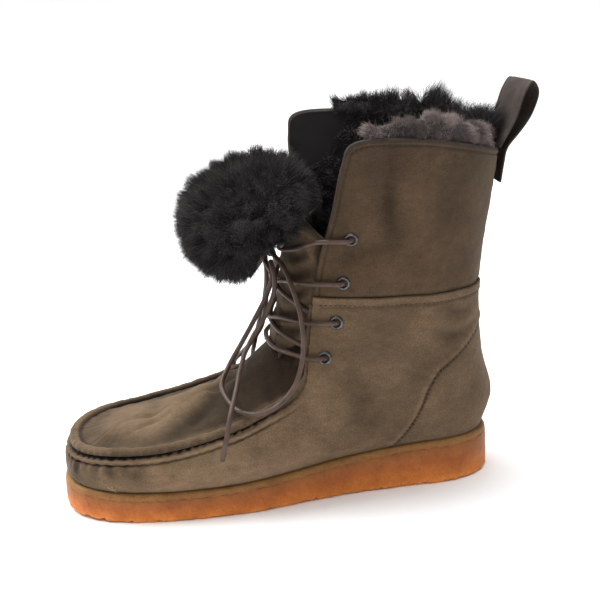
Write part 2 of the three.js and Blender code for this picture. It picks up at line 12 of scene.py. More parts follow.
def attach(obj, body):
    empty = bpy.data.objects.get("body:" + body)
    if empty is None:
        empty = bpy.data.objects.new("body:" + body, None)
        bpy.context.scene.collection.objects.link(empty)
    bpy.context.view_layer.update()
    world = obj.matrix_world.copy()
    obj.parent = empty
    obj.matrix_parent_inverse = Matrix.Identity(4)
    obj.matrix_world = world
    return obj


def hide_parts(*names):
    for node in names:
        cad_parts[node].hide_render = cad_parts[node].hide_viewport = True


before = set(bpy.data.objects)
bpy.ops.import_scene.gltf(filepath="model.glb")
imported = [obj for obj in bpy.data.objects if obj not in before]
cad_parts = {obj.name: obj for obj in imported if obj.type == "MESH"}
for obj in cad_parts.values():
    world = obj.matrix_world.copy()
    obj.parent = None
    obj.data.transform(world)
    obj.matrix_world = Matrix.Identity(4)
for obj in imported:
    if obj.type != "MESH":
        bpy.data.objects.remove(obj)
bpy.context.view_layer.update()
scene = bpy.context.scene
MM = 0.001

# The part's own forms.
SOLE = {
    "length": 268, "ball_along": 172, "ball_half": 51, "heel_half": 34, "heel_round": 40, "toe_power": 2.5,
    "fore_height": 18, "heel_height": 28, "wedge_from": 30, "wedge_to": 190,
    "spring_from": 215, "toe_spring": 2.5, "swing_from": 120, "toe_swing": 5,
    "waist_along": 108, "waist_span": 34, "waist_inner": 3.5, "waist_outer": 1,
}
GAP = 0.3
MIDSOLE_THICK = 4.2
FEATHER_INSET = 3
WALL = {"foot": 5, "fade_from": 0.1, "fade_to": 0.75}
SEAM = {"back_along": 6, "back_up": 122, "front_along": 117, "front_up": 128}
SWELL_AT = np.array([0, 0.12, 0.3, 0.55, 0.8, 1])
# feather, top, out, up, face (degrees), wall, the swell at four heights, and the outer flap's lean
SECTIONS = np.array([
    [265.0, 262.5, 0.0, 40.5, 90, 3.2, 1.8, 3.0, 3.5, 2.3, 0],
    [259.5, 258.0, 22.5, 41.5, 62, 3.2, 1.8, 3.0, 3.6, 2.3, 0],
    [242.0, 242.0, 39.5, 43.0, 32, 3.2, 2.0, 3.5, 4.0, 2.4, 0],
    [215.0, 213.0, 48.2, 44.3, 9, 3.2, 2.2, 4.0, 4.6, 2.7, 0],
    [186.0, 182.0, 50.0, 49.5, 2, 3.2, 2.6, 4.6, 5.0, 3.0, 0],
    [158.0, 155.0, 48.5, 57.5, -3, 3.2, 3.0, 5.5, 6.0, 3.6, 0],
    [130.0, 124.0, 43.5, 73.0, -8, 3.2, 4.0, 7.0, 7.4, 4.4, 0],
    [107.0, 118.5, 39.5, 98.0, -10, 3.2, 5.0, 8.4, 8.8, 5.5, 0],
    [90.0, 115.0, 37.5, 124.0, -9, 3.2, 4.8, 8.4, 9.0, 5.5, 0],
    [74.0, 110.0, 39.0, 152.0, -8, 3.2, 4.4, 8.0, 8.3, 3.9, 1.5],
    [60.0, 103.5, 47.5, 180.0, -8, 3.2, 4.1, 6.1, 3.5, -1.3, 7],
    [47.0, 98.5, 56.5, 208.0, -9, 3.4, 3.2, 3.5, -0.7, -3.6, 12.5],
    [38.0, 90.0, 59.5, 222.5, -13, 5.5, 2.8, 1.4, -3.0, -4.2, 13],
    [24.0, 54.0, 54.0, 221.5, -30, 8.5, 3.4, 1.6, -1.8, -1.9, 5],
    [12.0, 17.5, 38.0, 213.0, -54, 8.5, 4.2, -0.8, -4.0, -2.0, 0],
    [5.0, -2.5, 19.5, 206.0, -74, 8.5, 4.8, -2.6, -5.8, -2.6, 0],
    [3.0, -9.5, 0.0, 203.0, -90, 8.5, 5.1, -3.3, -6.6, -2.9, 0],
])
RING = 2 * (len(SECTIONS) - 1)
# along, up, half, back, drop, thick
TONGUE = np.array([
    [135.0, 91.0, 39, 1.0, 16, 3.0],
    [133.6, 100.0, 36, 9.0, 9, 4.0],
    [131.5, 112.0, 33, 14.0, 3, 5.0],
    [129.0, 126.0, 32, 15.0, 0, 5.5],
    [127.0, 142.0, 32, 15.0, 0, 5.5],
    [123.0, 158.0, 33, 13.0, 0, 5.5],
    [114.5, 169.0, 33, 9.0, 0, 5.5],
])
EYELETS = [(110, 92), (102, 113), (97, 137), (92, 164)]
# One eyelet from the bore outwards: radius, and height above the suede.
EYELET_PROFILE = [(2.5, -2.2), (2.5, 0.7), (2.65, 1.15), (3.0, 1.4), (3.5, 1.35), (4.1, 0.9), (4.3, 0.3)]
EYELET_STEPS = 36
LACE = {"diameter": 3, "clear": 1.4, "halfway": 9, "beyond": 4}
KNOT = (133.4, 0, 151)
STRAP = {"wide": 25, "thick": 1.8, "turn": 18, "turn_along": -14, "back": 1.5}
STRAP_ROUTE = [
    (-8.3, 184), (-10.4, 196), (-12.2, 204), (-19, 214), (-26, 226), (-29.5, 238), (-25.5, 243.8),
    (-20, 238), (-15.5, 226.5), (-12.4, 215), (-10, 208.7), (-8.1, 205.4),
]
# Routes of the free lace from the knot, as (along, out, up) points.
LOOP_INNER = [
    (134, 7.7, 150.2), (129.5, 19, 145), (126, 33, 134), (123, 44, 117), (124, 49, 95), (131, 53, 78),
    (143, 54.5, 67.5), (155, 53, 64.2), (164, 44, 65), (169, 31, 69.4), (169.5, 18, 73.8),
    (163.5, 10, 82), (155, 8.5, 95), (145.5, 9, 111), (138.5, 11, 125), (135, 11.5, 137),
    (137.6, 5.6, 144.6),
]
END_INNER = [
    (135.4, 12.2, 146.3), (134.3, 17.5, 138.5), (135, 19.5, 129.5), (138.5, 20, 120), (143.5, 20.5, 111),
    (148.5, 21.5, 104), (152.5, 24, 98.5), (156, 27, 93.5), (158.5, 31, 88), (161, 35.5, 82.5),
    (163, 40, 77.5), (165.2, 45, 73), (167.5, 50, 69.2), (169.5, 54, 64.5), (171.3, 56.8, 58.8),
    (172.8, 57.9, 52.5), (174.4, 58.2, 45.8), (176, 58.2, 39.2),
]
LOOP_OUTER = [
    (134, -7.7, 150.2), (129.5, -19, 145), (126, -33, 134), (123, -44, 117), (122.5, -48.5, 97),
    (124.5, -50.5, 80), (128, -52, 66), (132, -54, 54.5), (138, -55.6, 46.5), (145, -56, 45.5),
    (150.7, -55.6, 50.3), (153.3, -54.3, 57.5), (153.2, -51.6, 64), (151.5, -46.5, 68.5),
    (148.5, -39.5, 74), (145, -31.5, 81), (141.5, -24, 89), (138.5, -17.5, 97.5), (136.3, -14.2, 110),
    (135, -12.5, 124), (135.2, -11, 137), (137.6, -5.6, 144.6),
]
END_OUTER = [
    (135.4, -12.2, 146.3), (134.2, -18, 138.5), (133.8, -20.5, 129), (134.4, -22, 120),
    (135.5, -24, 111), (137, -27, 102.5), (138.5, -31, 95), (139.5, -35.2, 88), (140.3, -40, 81),
    (140.8, -44.5, 75.2), (141, -48.5, 71), (141, -52, 67), (141, -54.4, 62), (141, -55.3, 57.5),
    (141, -55.6, 53),
]

# Seams and creases, placed on the side view as (along, up) points.
COUNTER_SEAM = [(69, 24), (58, 37), (51, 49), (44.5, 65), (38, 75), (19, 87), (2, 99)]
# Stitch holes along that seam.
COUNTER_HOLES = 38
# side (1 inner, -1 outer), three points, width, depth
SIDE_CREASES = [
    (1, (100, 150), (82, 158), (62, 156), 5.0, 1.0),
    (1, (78, 196), (66, 178), (60, 150), 7.0, 1.2),
    (1, (40, 118), (24, 110), (8, 112), 4.0, 1.2),
    (1, (46, 104), (28, 96), (9, 99), 4.5, 1.3),
    (1, (100, 84), (88, 72), (84, 56), 6.0, 1.0),
    (1, (128, 60), (118, 48), (112, 36), 6.0, 0.8),
    (1, (160, 50), (152, 40), (150, 30), 5.0, 0.9),
    (1, (186, 44), (181, 36), (180, 28), 4.5, 0.8),
    (1, (206, 40), (203, 33), (203, 26), 4.0, 0.8),
    (-1, (98, 156), (80, 150), (60, 154), 5.5, 1.1),
    (-1, (70, 200), (62, 184), (50, 160), 7.0, 1.2),
    (-1, (44, 116), (26, 108), (8, 110), 4.0, 1.3),
    (-1, (48, 101), (30, 95), (9, 97), 4.5, 1.1),
    (-1, (104, 86), (90, 74), (82, 58), 6.0, 1.1),
    (-1, (136, 58), (128, 46), (124, 34), 6.0, 0.9),
    (-1, (172, 46), (166, 36), (165, 28), 5.0, 0.9),
    (-1, (198, 42), (195, 34), (195, 26), 4.5, 0.8),
]
# Creases of the apron in plan, as (along, out) points, then width and depth.
APRON_CREASES = [
    ((146, -30), (163, 0), (175, 16), (190, 30), (206, 33), 5.5, 1.7),
    ((160, -40), (171, -14), (172, 12), (162, 40), 5.0, 1.6),
    ((212, -30), (208, -12), (212, 6), (222, 20), 5.0, 1.3),
    ((188, 4), (178, 3), (168, 5), (158, 2), 3.0, 1.0),
    ((152, -34), (158, -12), (158, 12), (150, 36), 4.0, 1.2),
    ((206, 26), (196, 22), (188, 24), (180, 20), 5.0, 1.0),
    ((236, 10), (224, 6), (212, 8), (200, 4), 2.2, 0.7),
    ((232, 24), (220, 17), (208, 16), (198, 10), 2.2, 0.7),
]
# Front edge of the painted shade in the apron's hollow, as (along, out) points.
HOLLOW_SHADE_EDGE = [(150, -30), (166, -6), (178, 8), (188, 18), (198, 20), (210, 22), (226, 27)]
# Gathers of the toe wall: ring position, length below the seam, width, depth.
PUCKERS = [
    (0.22, 11, 1.6, 0.7), (0.5, 15, 2.0, 0.9), (0.82, 12, 1.7, 0.8), (1.1, 17, 2.2, 1.1),
    (1.42, 11, 1.7, 0.7), (1.75, 16, 2.2, 1.0), (2.05, 13, 1.9, 0.9), (2.4, 17, 2.4, 1.0),
    (2.75, 12, 2.2, 0.7), (3.15, 14, 2.4, 0.8), (3.6, 12, 2.4, 0.6), (4.1, 13, 2.6, 0.6),
    (4.7, 12, 2.6, 0.5), (5.2, 14, 2.8, 0.6),
]
# Folds of the tongue where it is gathered beside the lacing, as (out, up) points, then width and depth.
TONGUE_FOLDS = [
    ((8, 101), (20, 103), (34, 110), 2.6, 1.8), ((6, 113), (18, 113), (32, 120), 2.8, 2.0),
    ((10, 124), (20, 126), (32, 134), 2.6, 1.8), ((6, 138), (20, 138), (32, 144), 2.8, 1.8),
    ((12, 148), (22, 150), (33, 157), 2.4, 1.4),
]
# Cross section of the apron's rolled edge: inward from the seam, and up.
LIP = [
    (1.2, -0.9), (-0.2, -0.2), (-1.0, 0.9), (-1.1, 2.2), (-0.4, 3.4),
    (0.9, 4.1), (2.5, 4.2), (3.9, 3.6), (4.8, 2.5), (5.4, 1.8),
]
# Middle line of the apron: along, up.
SPINE = [
    (226, 52.2), (213, 55), (198, 59.2), (182, 64), (168, 69.6), (155, 76.2),
    (146, 83), (138, 91), (130, 100), (118, 112), (96, 128),
]
# Darker and paler places of the suede: side, along, up, reach along, reach up, amount.
PATCHES = [
    (1, 69, 188, 4.5, 34, -0.3), (1, 46, 184, 14, 24, 0.2), (1, 100, 186, 8, 30, -0.12),
    (1, 70, 150, 16, 14, 0.08), (1, 96, 60, 26, 14, 0.07), (1, 40, 44, 20, 14, 0.08),
    (1, 262, 30, 3, 8, -0.5), (1, 241, 33, 3, 5, -0.5), (1, 226, 31, 5, 6, -0.5),
    (1, 205, 34, 14, 8, 0.06),
    (-1, 84, 190, 8, 26, -0.14), (-1, 60, 60, 22, 16, 0.07), (-1, 250, 33, 4, 7, -0.34),
    (-1, 225, 34, 7, 8, -0.2),
]
# Height of a thread's middle above the suede.
THREAD_LIFT = 0.1
# The darkest and the palest that suede may be shaded.
SHADE_LIMITS = (0.02, 2)
# How far from an edge its distance is still measured.
EDGE_REACH = 16
# Two pale scratches low on the toe wall, as (along, up) points.
SCUFFS = [
    [(247.2, 26.8), (244.2, 24.3), (241.4, 21.4), (238.2, 17.6)],
    [(241.6, 24), (240.4, 22.4), (239.2, 20.4)],
]
SCUFF_SHADE = 2.2
# The tongue cuff's inner side, as (along, up) points, which bears no strands.
CUFF_HOLLOW = [(143.5, 100), (143.5, 148), (138, 158), (123, 159.4), (114.9, 169.4), (112, 173), (80, 178)]
# Where the cuff's fleece stands out further, in front and at the back, in the row's millimetres.
CUFF_SWELL = (0, -46, 184)
CUFF_BACK = (0, 12, 186)

# Columns and rows of the finer skins, and the number of strand roots.
UPPER_GRID = (640, 100)
SHAFT_GRID = (420, 96)
LINING_GRID = (220, 50)
TONGUE_GRID = (130, 96)
GUSSET_GRID = (70, 22)
ROW_EASE = 0.55
APRON_EDGE_STEPS = 620
LIP_ROWS = 24
APRON_ROWS = 60
UNDERSIDE_ROWS = 41
SOLE_STEPS = {"heel": 90, "body": 150, "toe": 150}
STRAND_POINTS = 5
STRANDS = {"cuff": 63000, "collar": 72000, "lining": 26000}

# Metres, degrees of roll and millimetres of lens.
CAMERA = {"at": (0.9372, -0.1317, 0.3924), "aim": (0.0363, 0.0118, 0.1272), "roll": -2.27, "lens": 96}
# name, place and size in metres, power in watts
LIGHTS = [
    ("key", (-0.35, -0.95, 1.35), 1.0, 22),
    ("front", (1.2, -0.5, 0.8), 1.0, 3),
    ("top", (-0.2, 0.35, 1.6), 1.2, 14),
]
LIGHT_AIM = (0, 0, 0.1)
FLOOR_REACH = 20


def smoothstep(x, low, high):
    t = np.clip((x - low) / (high - low), 0, 1)
    return t * t * (3 - 2 * t)


def mix(a, b, t):
    return a + (b - a) * t


def hump(x, width):
    return np.exp(-((x / width) ** 2))


def unit(vectors):
    return vectors / np.maximum(np.linalg.norm(vectors, axis=-1, keepdims=True), 1e-9)


def place(points):
    """Row-frame millimetres of (along, out, up) points."""
    points = np.asarray(points, float)
    reach = np.maximum(0, (points[..., 0] - SOLE["swing_from"]) / (SOLE["length"] - SOLE["swing_from"]))
    x = points[..., 1] + SOLE["toe_swing"] * reach**2
    return np.stack([x, SOLE["length"] / 2 - points[..., 0], points[..., 2]], -1)


def lumps(points, wavelength, seed):
    """Soft uneven field from -1 to 1 over millimetre points."""
    rng = np.random.default_rng(seed)
    waves = unit(rng.normal(size=(9, 3))) * rng.uniform(0.7, 1.5, (9, 1)) * 2 * np.pi / wavelength
    return np.mean(np.sin(points @ waves.T + rng.uniform(0, 2 * np.pi, 9)), -1) * 1.8


def sole_half(along, inset, side):
    waist = np.where(side > 0, SOLE["waist_inner"], SOLE["waist_outer"])
    pinch = waist * hump(along - SOLE["waist_along"], SOLE["waist_span"])
    back = np.clip((SOLE["heel_round"] - along) / (SOLE["heel_round"] - inset), 0, 1)
    heel = (SOLE["heel_half"] - inset - pinch) * np.sqrt(1 - back**2)
    span = smoothstep(along, SOLE["heel_round"], SOLE["ball_along"])
    body = mix(SOLE["heel_half"], SOLE["ball_half"], span) - inset - pinch
    front = np.maximum(0, along - SOLE["ball_along"]) / (SOLE["length"] - inset - SOLE["ball_along"])
    fore = body * np.maximum(0, 1 - front ** SOLE["toe_power"]) ** (1 / SOLE["toe_power"])
    return np.where(along < SOLE["heel_round"], heel, fore)


def sole_bottom(along):
    reach = np.maximum(0, (along - SOLE["spring_from"]) / (SOLE["length"] - SOLE["spring_from"]))
    return SOLE["toe_spring"] * reach**2


def sole_top(along):
    fall = smoothstep(along, SOLE["wedge_from"], SOLE["wedge_to"])
    return mix(SOLE["heel_height"], SOLE["fore_height"], fall) + sole_bottom(along)


def pick(table, k):
    return np.take_along_axis(table, k[..., None], -1)[..., 0]


def through(values, at):
    """Cubic through the swells at their heights."""
    i = np.clip(np.searchsorted(SWELL_AT, at) - 1, 0, len(SWELL_AT) - 2)
    low = np.maximum(np.arange(len(SWELL_AT)) - 1, 0)
    high = np.minimum(np.arange(len(SWELL_AT)) + 1, len(SWELL_AT) - 1)
    slopes = (values[..., high] - values[..., low]) / (SWELL_AT[high] - SWELL_AT[low])
    width = SWELL_AT[i + 1] - SWELL_AT[i]
    t = (at - SWELL_AT[i]) / width
    start = pick(values, i)
    rest = (pick(values, i + 1) - start) * t * t * (3 - 2 * t)
    lean = pick(slopes, i) * t * (1 - t) ** 2 + pick(slopes, i + 1) * t * t * (t - 1)
    return start + rest + width * lean


def catmull(a, b, c, d, t):
    return b + ((c - a) * t + (2 * a - 5 * b + 4 * c - d) * t**2 + (3 * b - a - 3 * c + d) * t**3) / 2


def section_point(index, v):
    index = index % RING
    side = np.where(index <= RING // 2, 1, -1)
    row = SECTIONS[np.minimum(index, RING - index)]
    swells = np.concatenate([np.zeros_like(row[..., :1]), row[..., 6:10], np.zeros_like(row[..., :1])], -1)
    swell = through(swells, v)
    face = np.radians(row[..., 4])
    foot = sole_half(row[..., 0], FEATHER_INSET, side)
    top = row[..., 1] + np.where(side < 0, row[..., 10], 0)
    return np.stack([
        mix(row[..., 0], top, v) + swell * np.sin(face),
        side * (mix(foot, row[..., 2], v) + swell * np.cos(face)),
        mix(sole_top(row[..., 0]) + GAP, row[..., 3], v),
    ], -1)


def upper_point(u, v):
    """(along, out, up) on the outside of the upper: u round the boot, v from the sole to the upper edge."""
    u, v = np.broadcast_arrays(np.asarray(u, float), np.asarray(v, float))
    i = np.floor(u).astype(int)
    return catmull(*(section_point(i + k, v) for k in (-1, 0, 1, 2)), (u - i)[..., None])


def upper_at(u, v):
    return place(upper_point(u, v))


def upper_normal(u, v):
    d = 0.01
    v = np.asarray(v, float)
    around = upper_at(u + d, v) - upper_at(u - d, v)
    rise = upper_at(u, np.minimum(1, v + d)) - upper_at(u, np.maximum(0, v - d))
    return unit(np.cross(around, rise))


def wall_at(u, v):
    i = np.floor(u).astype(int)
    edge = [SECTIONS[np.minimum(k % RING, RING - k % RING), 5] for k in (i, i + 1)]
    return mix(WALL["foot"], mix(edge[0], edge[1], u - i), smoothstep(v, WALL["fade_from"], WALL["fade_to"]))


def seam_height(along):
    pitch = (SEAM["front_up"] - SEAM["back_up"]) / (SEAM["front_along"] - SEAM["back_along"])
    return SEAM["back_up"] + pitch * (along - SEAM["back_along"])


def seam_v(u):
    """Height v of the shaft seam in each column, 1 where the column ends below it."""
    low, high = np.zeros_like(u), np.ones_like(u)
    for _ in range(30):
        v = (low + high) / 2
        point = upper_point(u, v)
        below = point[..., 2] < seam_height(point[..., 0])
        low, high = np.where(below, v, low), np.where(below, high, v)
    return high


SEARCH_U, SEARCH_V = np.meshgrid(np.linspace(5, 16, 560), np.linspace(0, 1, 420), indexing="ij")
SEARCH = {side: upper_point(SEARCH_U if side > 0 else RING - SEARCH_U, SEARCH_V) for side in (1, -1)}


def find_on_upper(along, up, side):
    """Ring position and height on one side of the upper at a place in side view."""
    point = SEARCH[side]
    best = np.argmin((point[..., 0] - along) ** 2 + (point[..., 2] - up) ** 2)
    u, v = SEARCH_U.flat[best], SEARCH_V.flat[best]
    return (u if side > 0 else RING - u), v


def on_upper(along, up, side, lift):
    u, v = find_on_upper(along, up, side)
    return upper_at(u, v) + upper_normal(u, v) * lift


def tongue_column(k, v):
    at = np.asarray(v, float) * (len(TONGUE) - 1)
    i = np.clip(np.floor(at).astype(int), 0, len(TONGUE) - 2)
    rows = (TONGUE[np.clip(i + step, 0, len(TONGUE) - 1), k] for step in (-1, 0, 1, 2))
    return catmull(*rows, at - i)


def tongue_at(v, w, depth):
    d = 0.01
    v, w = np.broadcast_arrays(np.asarray(v, float), np.asarray(w, float))
    after, before = np.minimum(1, v + d), np.maximum(0, v - d)
    rise = unit(np.stack([
        tongue_column(0, after) - tongue_column(0, before),
        tongue_column(1, after) - tongue_column(1, before),
    ], -1))
    back = tongue_column(3, v) * w * w + depth
    return place(np.stack([
        tongue_column(0, v) - back * rise[..., 1],
        w * tongue_column(2, v),
        tongue_column(1, v) + back * rise[..., 0] - tongue_column(4, v) * w * w,
    ], -1))


def run_lengths(line):
    """Distance along a line of points to each of them."""
    return np.concatenate([[0], np.cumsum(np.linalg.norm(np.diff(line, axis=0), axis=1))])


def smooth_route(points, count):
    """Centripetal curve through millimetre points, at equal steps."""
    p = np.asarray(points, float)
    p = np.vstack([2 * p[0] - p[1], p, 2 * p[-1] - p[-2]])
    gaps = np.sqrt(np.linalg.norm(np.diff(p, axis=0), axis=1))
    knots = np.concatenate([[0], np.cumsum(gaps)])
    dense = []
    for k in range(1, len(p) - 2):
        t0, t1, t2, t3 = knots[k - 1:k + 3]
        t = np.linspace(t1, t2, 24, endpoint=False)[:, None]
        a1 = (t1 - t) / (t1 - t0) * p[k - 1] + (t - t0) / (t1 - t0) * p[k]
        a2 = (t2 - t) / (t2 - t1) * p[k] + (t - t1) / (t2 - t1) * p[k + 1]
        a3 = (t3 - t) / (t3 - t2) * p[k + 1] + (t - t2) / (t3 - t2) * p[k + 2]
        b1 = (t2 - t) / (t2 - t0) * a1 + (t - t0) / (t2 - t0) * a2
        b2 = (t3 - t) / (t3 - t1) * a2 + (t - t1) / (t3 - t1) * a3
        dense.append((t2 - t) / (t2 - t1) * b1 + (t - t1) / (t2 - t1) * b2)
    dense = np.vstack(dense + [p[-2:-1]])
    reach = run_lengths(dense)
    at = np.linspace(0, reach[-1], count)
    return np.stack([np.interp(at, reach, dense[:, k]) for k in range(dense.shape[1])], -1)


def line_distance(x, y, points):
    """Signed distance to a smooth line in a flat view, and how far along it, from 0 to 1."""
    line = smooth_route(points, 28)
    best = np.full(x.shape, 1e9)
    signed = np.zeros(x.shape)
    reach = np.zeros(x.shape)
    for k, (a, b) in enumerate(zip(line[:-1], line[1:])):
        run = b - a
        t = np.clip(((x - a[0]) * run[0] + (y - a[1]) * run[1]) / (run @ run), 0, 1)
        dx, dy = x - a[0] - t * run[0], y - a[1] - t * run[1]
        away = np.hypot(dx, dy)
        closer = away < best
        best = np.where(closer, away, best)
        signed = np.where(closer, away * np.sign(run[0] * dy - run[1] * dx), signed)
        reach = np.where(closer, (k + t) / (len(line) - 1), reach)
    return signed, reach


def trough(x, y, points, width, depth):
    """A soft crease: a trough that fades out at its ends, with a low ridge on either side."""
    away, reach = line_distance(x, y, points)
    fade = np.sin(np.pi * np.clip(reach, 0, 1)) ** 0.7
    return depth * fade * (0.4 * hump(np.abs(away) - 1.9 * width, width) - hump(away, width))


def make_mesh(name, points, faces, **values):
    mesh = bpy.data.meshes.new(name)
    points = np.asarray(points, float).reshape(-1, 3) * MM
    faces = np.asarray(faces, np.int32)
    mesh.vertices.add(len(points))
    mesh.vertices.foreach_set("co", points.ravel())
    mesh.loops.add(faces.size)
    mesh.loops.foreach_set("vertex_index", faces.ravel())
    mesh.polygons.add(len(faces))
    mesh.polygons.foreach_set("loop_start", np.arange(0, faces.size, faces.shape[1], dtype=np.int32))
    mesh.polygons.foreach_set("use_smooth", np.ones(len(faces), bool))
    for key, value in values.items():
        field = mesh.attributes.new(key, "FLOAT", "POINT")
        field.data.foreach_set("value", np.asarray(value, np.float32).ravel())
    mesh.update(calc_edges=True)
    piece = bpy.data.objects.new(name, mesh)
    scene.collection.objects.link(piece)
    return piece


def grid_faces(rows, columns, wrap_rows=False, wrap_columns=False):
    r = np.arange(rows if wrap_rows else rows - 1)
    c = np.arange(columns if wrap_columns else columns - 1)
    r, c = np.meshgrid(r, c, indexing="ij")
    this, after = r * columns, (r + 1) % rows * columns
    beside = (c + 1) % columns
    return np.stack([this + c, after + c, after + beside, this + beside], -1).reshape(-1, 4)


def sheet(grid, **wraps):
    """Points and faces of a grid of points."""
    return grid.reshape(-1, 3), grid_faces(*grid.shape[:2], **wraps)


def dress(piece, material, slot, *nodes):
    piece.data.materials.append(material)
    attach(piece, "root")
    if nodes:
        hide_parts(*nodes)
    return piece


def tube(path, radius, sides=12):
    """Points and faces of a round tube along a millimetre path, rounded off at both ends."""
    path = np.asarray(path, float)
    run = unit(np.gradient(path, axis=0))
    across = unit(np.cross(run[0], [0.3, 0.2, 1.0]))
    frames = []
    for direction in run:
        across = unit(across - direction * (across @ direction))
        frames.append((across, np.cross(direction, across)))
    frames = np.array(frames)
    turn = np.linspace(0, 2 * np.pi, sides, endpoint=False)[None, :, None]
    circle = np.cos(turn) * frames[:, None, 0] + np.sin(turn) * frames[:, None, 1]
    size = np.full(len(path), radius) if np.isscalar(radius) else radius
    rings = path[:, None] + circle * size[:, None, None]
    caps = [
        (path[0] - run[0] * size[0] * 0.45)[None] + circle[0] * size[0] * 0.6,
        (path[-1] + run[-1] * size[-1] * 0.45)[None] + circle[-1] * size[-1] * 0.6,
    ]
    ends = [
        np.repeat((path[0] - run[0] * size[0] * 0.6)[None], sides, 0),
        np.repeat((path[-1] + run[-1] * size[-1] * 0.6)[None], sides, 0),
    ]
    rings = np.concatenate([ends[0][None], caps[0][None], rings, caps[1][None], ends[1][None]])
    return sheet(rings, wrap_columns=True)


def join(parts):
    """One set of points and faces from several."""
    points, faces, start = [], [], 0
    for part_points, part_faces in parts:
        points.append(part_points)
        faces.append(part_faces + start)
        start += len(part_points)
    return np.vstack(points), np.vstack(faces)


# Materials

def new_material(name, roughness, **sockets):
    material = bpy.data.materials.new(name)
    material.use_nodes = True
    shader = material.node_tree.nodes["Principled BSDF"]
    shader.inputs["Roughness"].default_value = roughness
    for key, value in sockets.items():
        shader.inputs[key.replace("_", " ")].default_value = value
    return material, material.node_tree, shader


def add_node(tree, kind, inputs=None, **settings):
    node = tree.nodes.new(kind)
    for key, value in settings.items():
        setattr(node, key, value)
    for key, value in (inputs or {}).items():
        if isinstance(value, bpy.types.NodeSocket):
            tree.links.new(value, node.inputs[key])
        else:
            node.inputs[key].default_value = value
    return node


def noise(tree, scale, detail=3, roughness=0.55, stretch=None):
    where = add_node(tree, "ShaderNodeTexCoord").outputs["Object"]
    if stretch:
        where = add_node(tree, "ShaderNodeMapping", {"Vector": where, "Scale": stretch}).outputs["Vector"]
    inputs = {"Vector": where, "Scale": scale, "Detail": detail, "Roughness": roughness}
    return add_node(tree, "ShaderNodeTexNoise", inputs).outputs["Fac"]


def ramp(tree, value, *stops):
    node = add_node(tree, "ShaderNodeValToRGB", {"Fac": value})
    elements = node.color_ramp.elements
    while len(elements) < len(stops):
        elements.new(0.5)
    for element, (position, colour) in zip(elements, stops):
        element.position = position
        element.color = (*colour, 1)
    return node.outputs["Color"]


def grey(level):
    return (level, level, level)


def multiply(tree, a, b):
    node = add_node(tree, "ShaderNodeMix", {"Factor": 1.0}, data_type="RGBA", blend_type="MULTIPLY")
    tree.links.new(a, node.inputs[6])
    tree.links.new(b, node.inputs[7])
    return node.outputs[2]


def attribute(tree, name):
    return add_node(tree, "ShaderNodeAttribute", attribute_name=name).outputs["Fac"]


def bump(tree, shader, height, strength, distance):
    node = add_node(tree, "ShaderNodeBump", {"Height": height, "Strength": strength, "Distance": distance})
    tree.links.new(node.outputs["Normal"], shader.inputs["Normal"])


def suede_material(name, dark, light):
    """Napped suede: soft clouds, short brushed streaks, a fine grain, and the shade set on the mesh."""
    material, tree, shader = new_material(
        name, 0.95, Sheen_Weight=0.18, Sheen_Roughness=0.5, Specular_IOR_Level=0.12)
    shader.inputs["Sheen Tint"].default_value = (0.8, 0.68, 0.56, 1)
    cloud = ramp(tree, noise(tree, 34, 6, 0.62), (0.28, dark), (0.72, light))
    streak = ramp(tree, noise(tree, 300, 5, 0.7, (1, 0.5, 1)), (0.28, grey(0.8)), (0.74, grey(1.18)))
    grain = ramp(tree, noise(tree, 1500, 2, 0.7), (0.3, grey(0.68)), (0.72, grey(1.28)))
    colour = multiply(tree, multiply(tree, cloud, streak), multiply(tree, grain, attribute(tree, "shade")))
    tree.links.new(colour, shader.inputs["Base Color"])
    bump(tree, shader, noise(tree, 1000, 4, 0.72), 0.4, 0.0007)
    return material


def fleece_material(name, root, tip):
    """Wool strands, dark at the root and paler towards the tip, each a little different."""
    material, tree, shader = new_material(name, 0.75, Sheen_Weight=0.3, Specular_IOR_Level=0.25)
    shader.inputs["Sheen Tint"].default_value = (0.6, 0.55, 0.54, 1)
    rise = ramp(tree, attribute(tree, "tip"), (0.15, root), (1.0, tip))
    tone = ramp(tree, attribute(tree, "tone"), (0.0, grey(0.45)), (1.0, grey(1.35)))
    cloud = ramp(tree, noise(tree, 45, 3), (0.3, grey(0.7)), (0.7, grey(1.2)))
    tree.links.new(multiply(tree, multiply(tree, rise, tone), cloud), shader.inputs["Base Color"])
    return material


def leather_material(name, dark, light, roughness, grain):
    material, tree, shader = new_material(name, roughness, Specular_IOR_Level=0.45)
    cloud = ramp(tree, noise(tree, 90, 5, 0.6), (0.3, dark), (0.72, light))
    tree.links.new(cloud, shader.inputs["Base Color"])
    rough = ramp(tree, noise(tree, 160, 3), (0.3, grey(roughness - 0.08)), (0.7, grey(roughness + 0.12)))
    tree.links.new(rough, shader.inputs["Roughness"])
    bump(tree, shader, noise(tree, grain, 3, 0.6), 0.3, 0.0005)
    return material


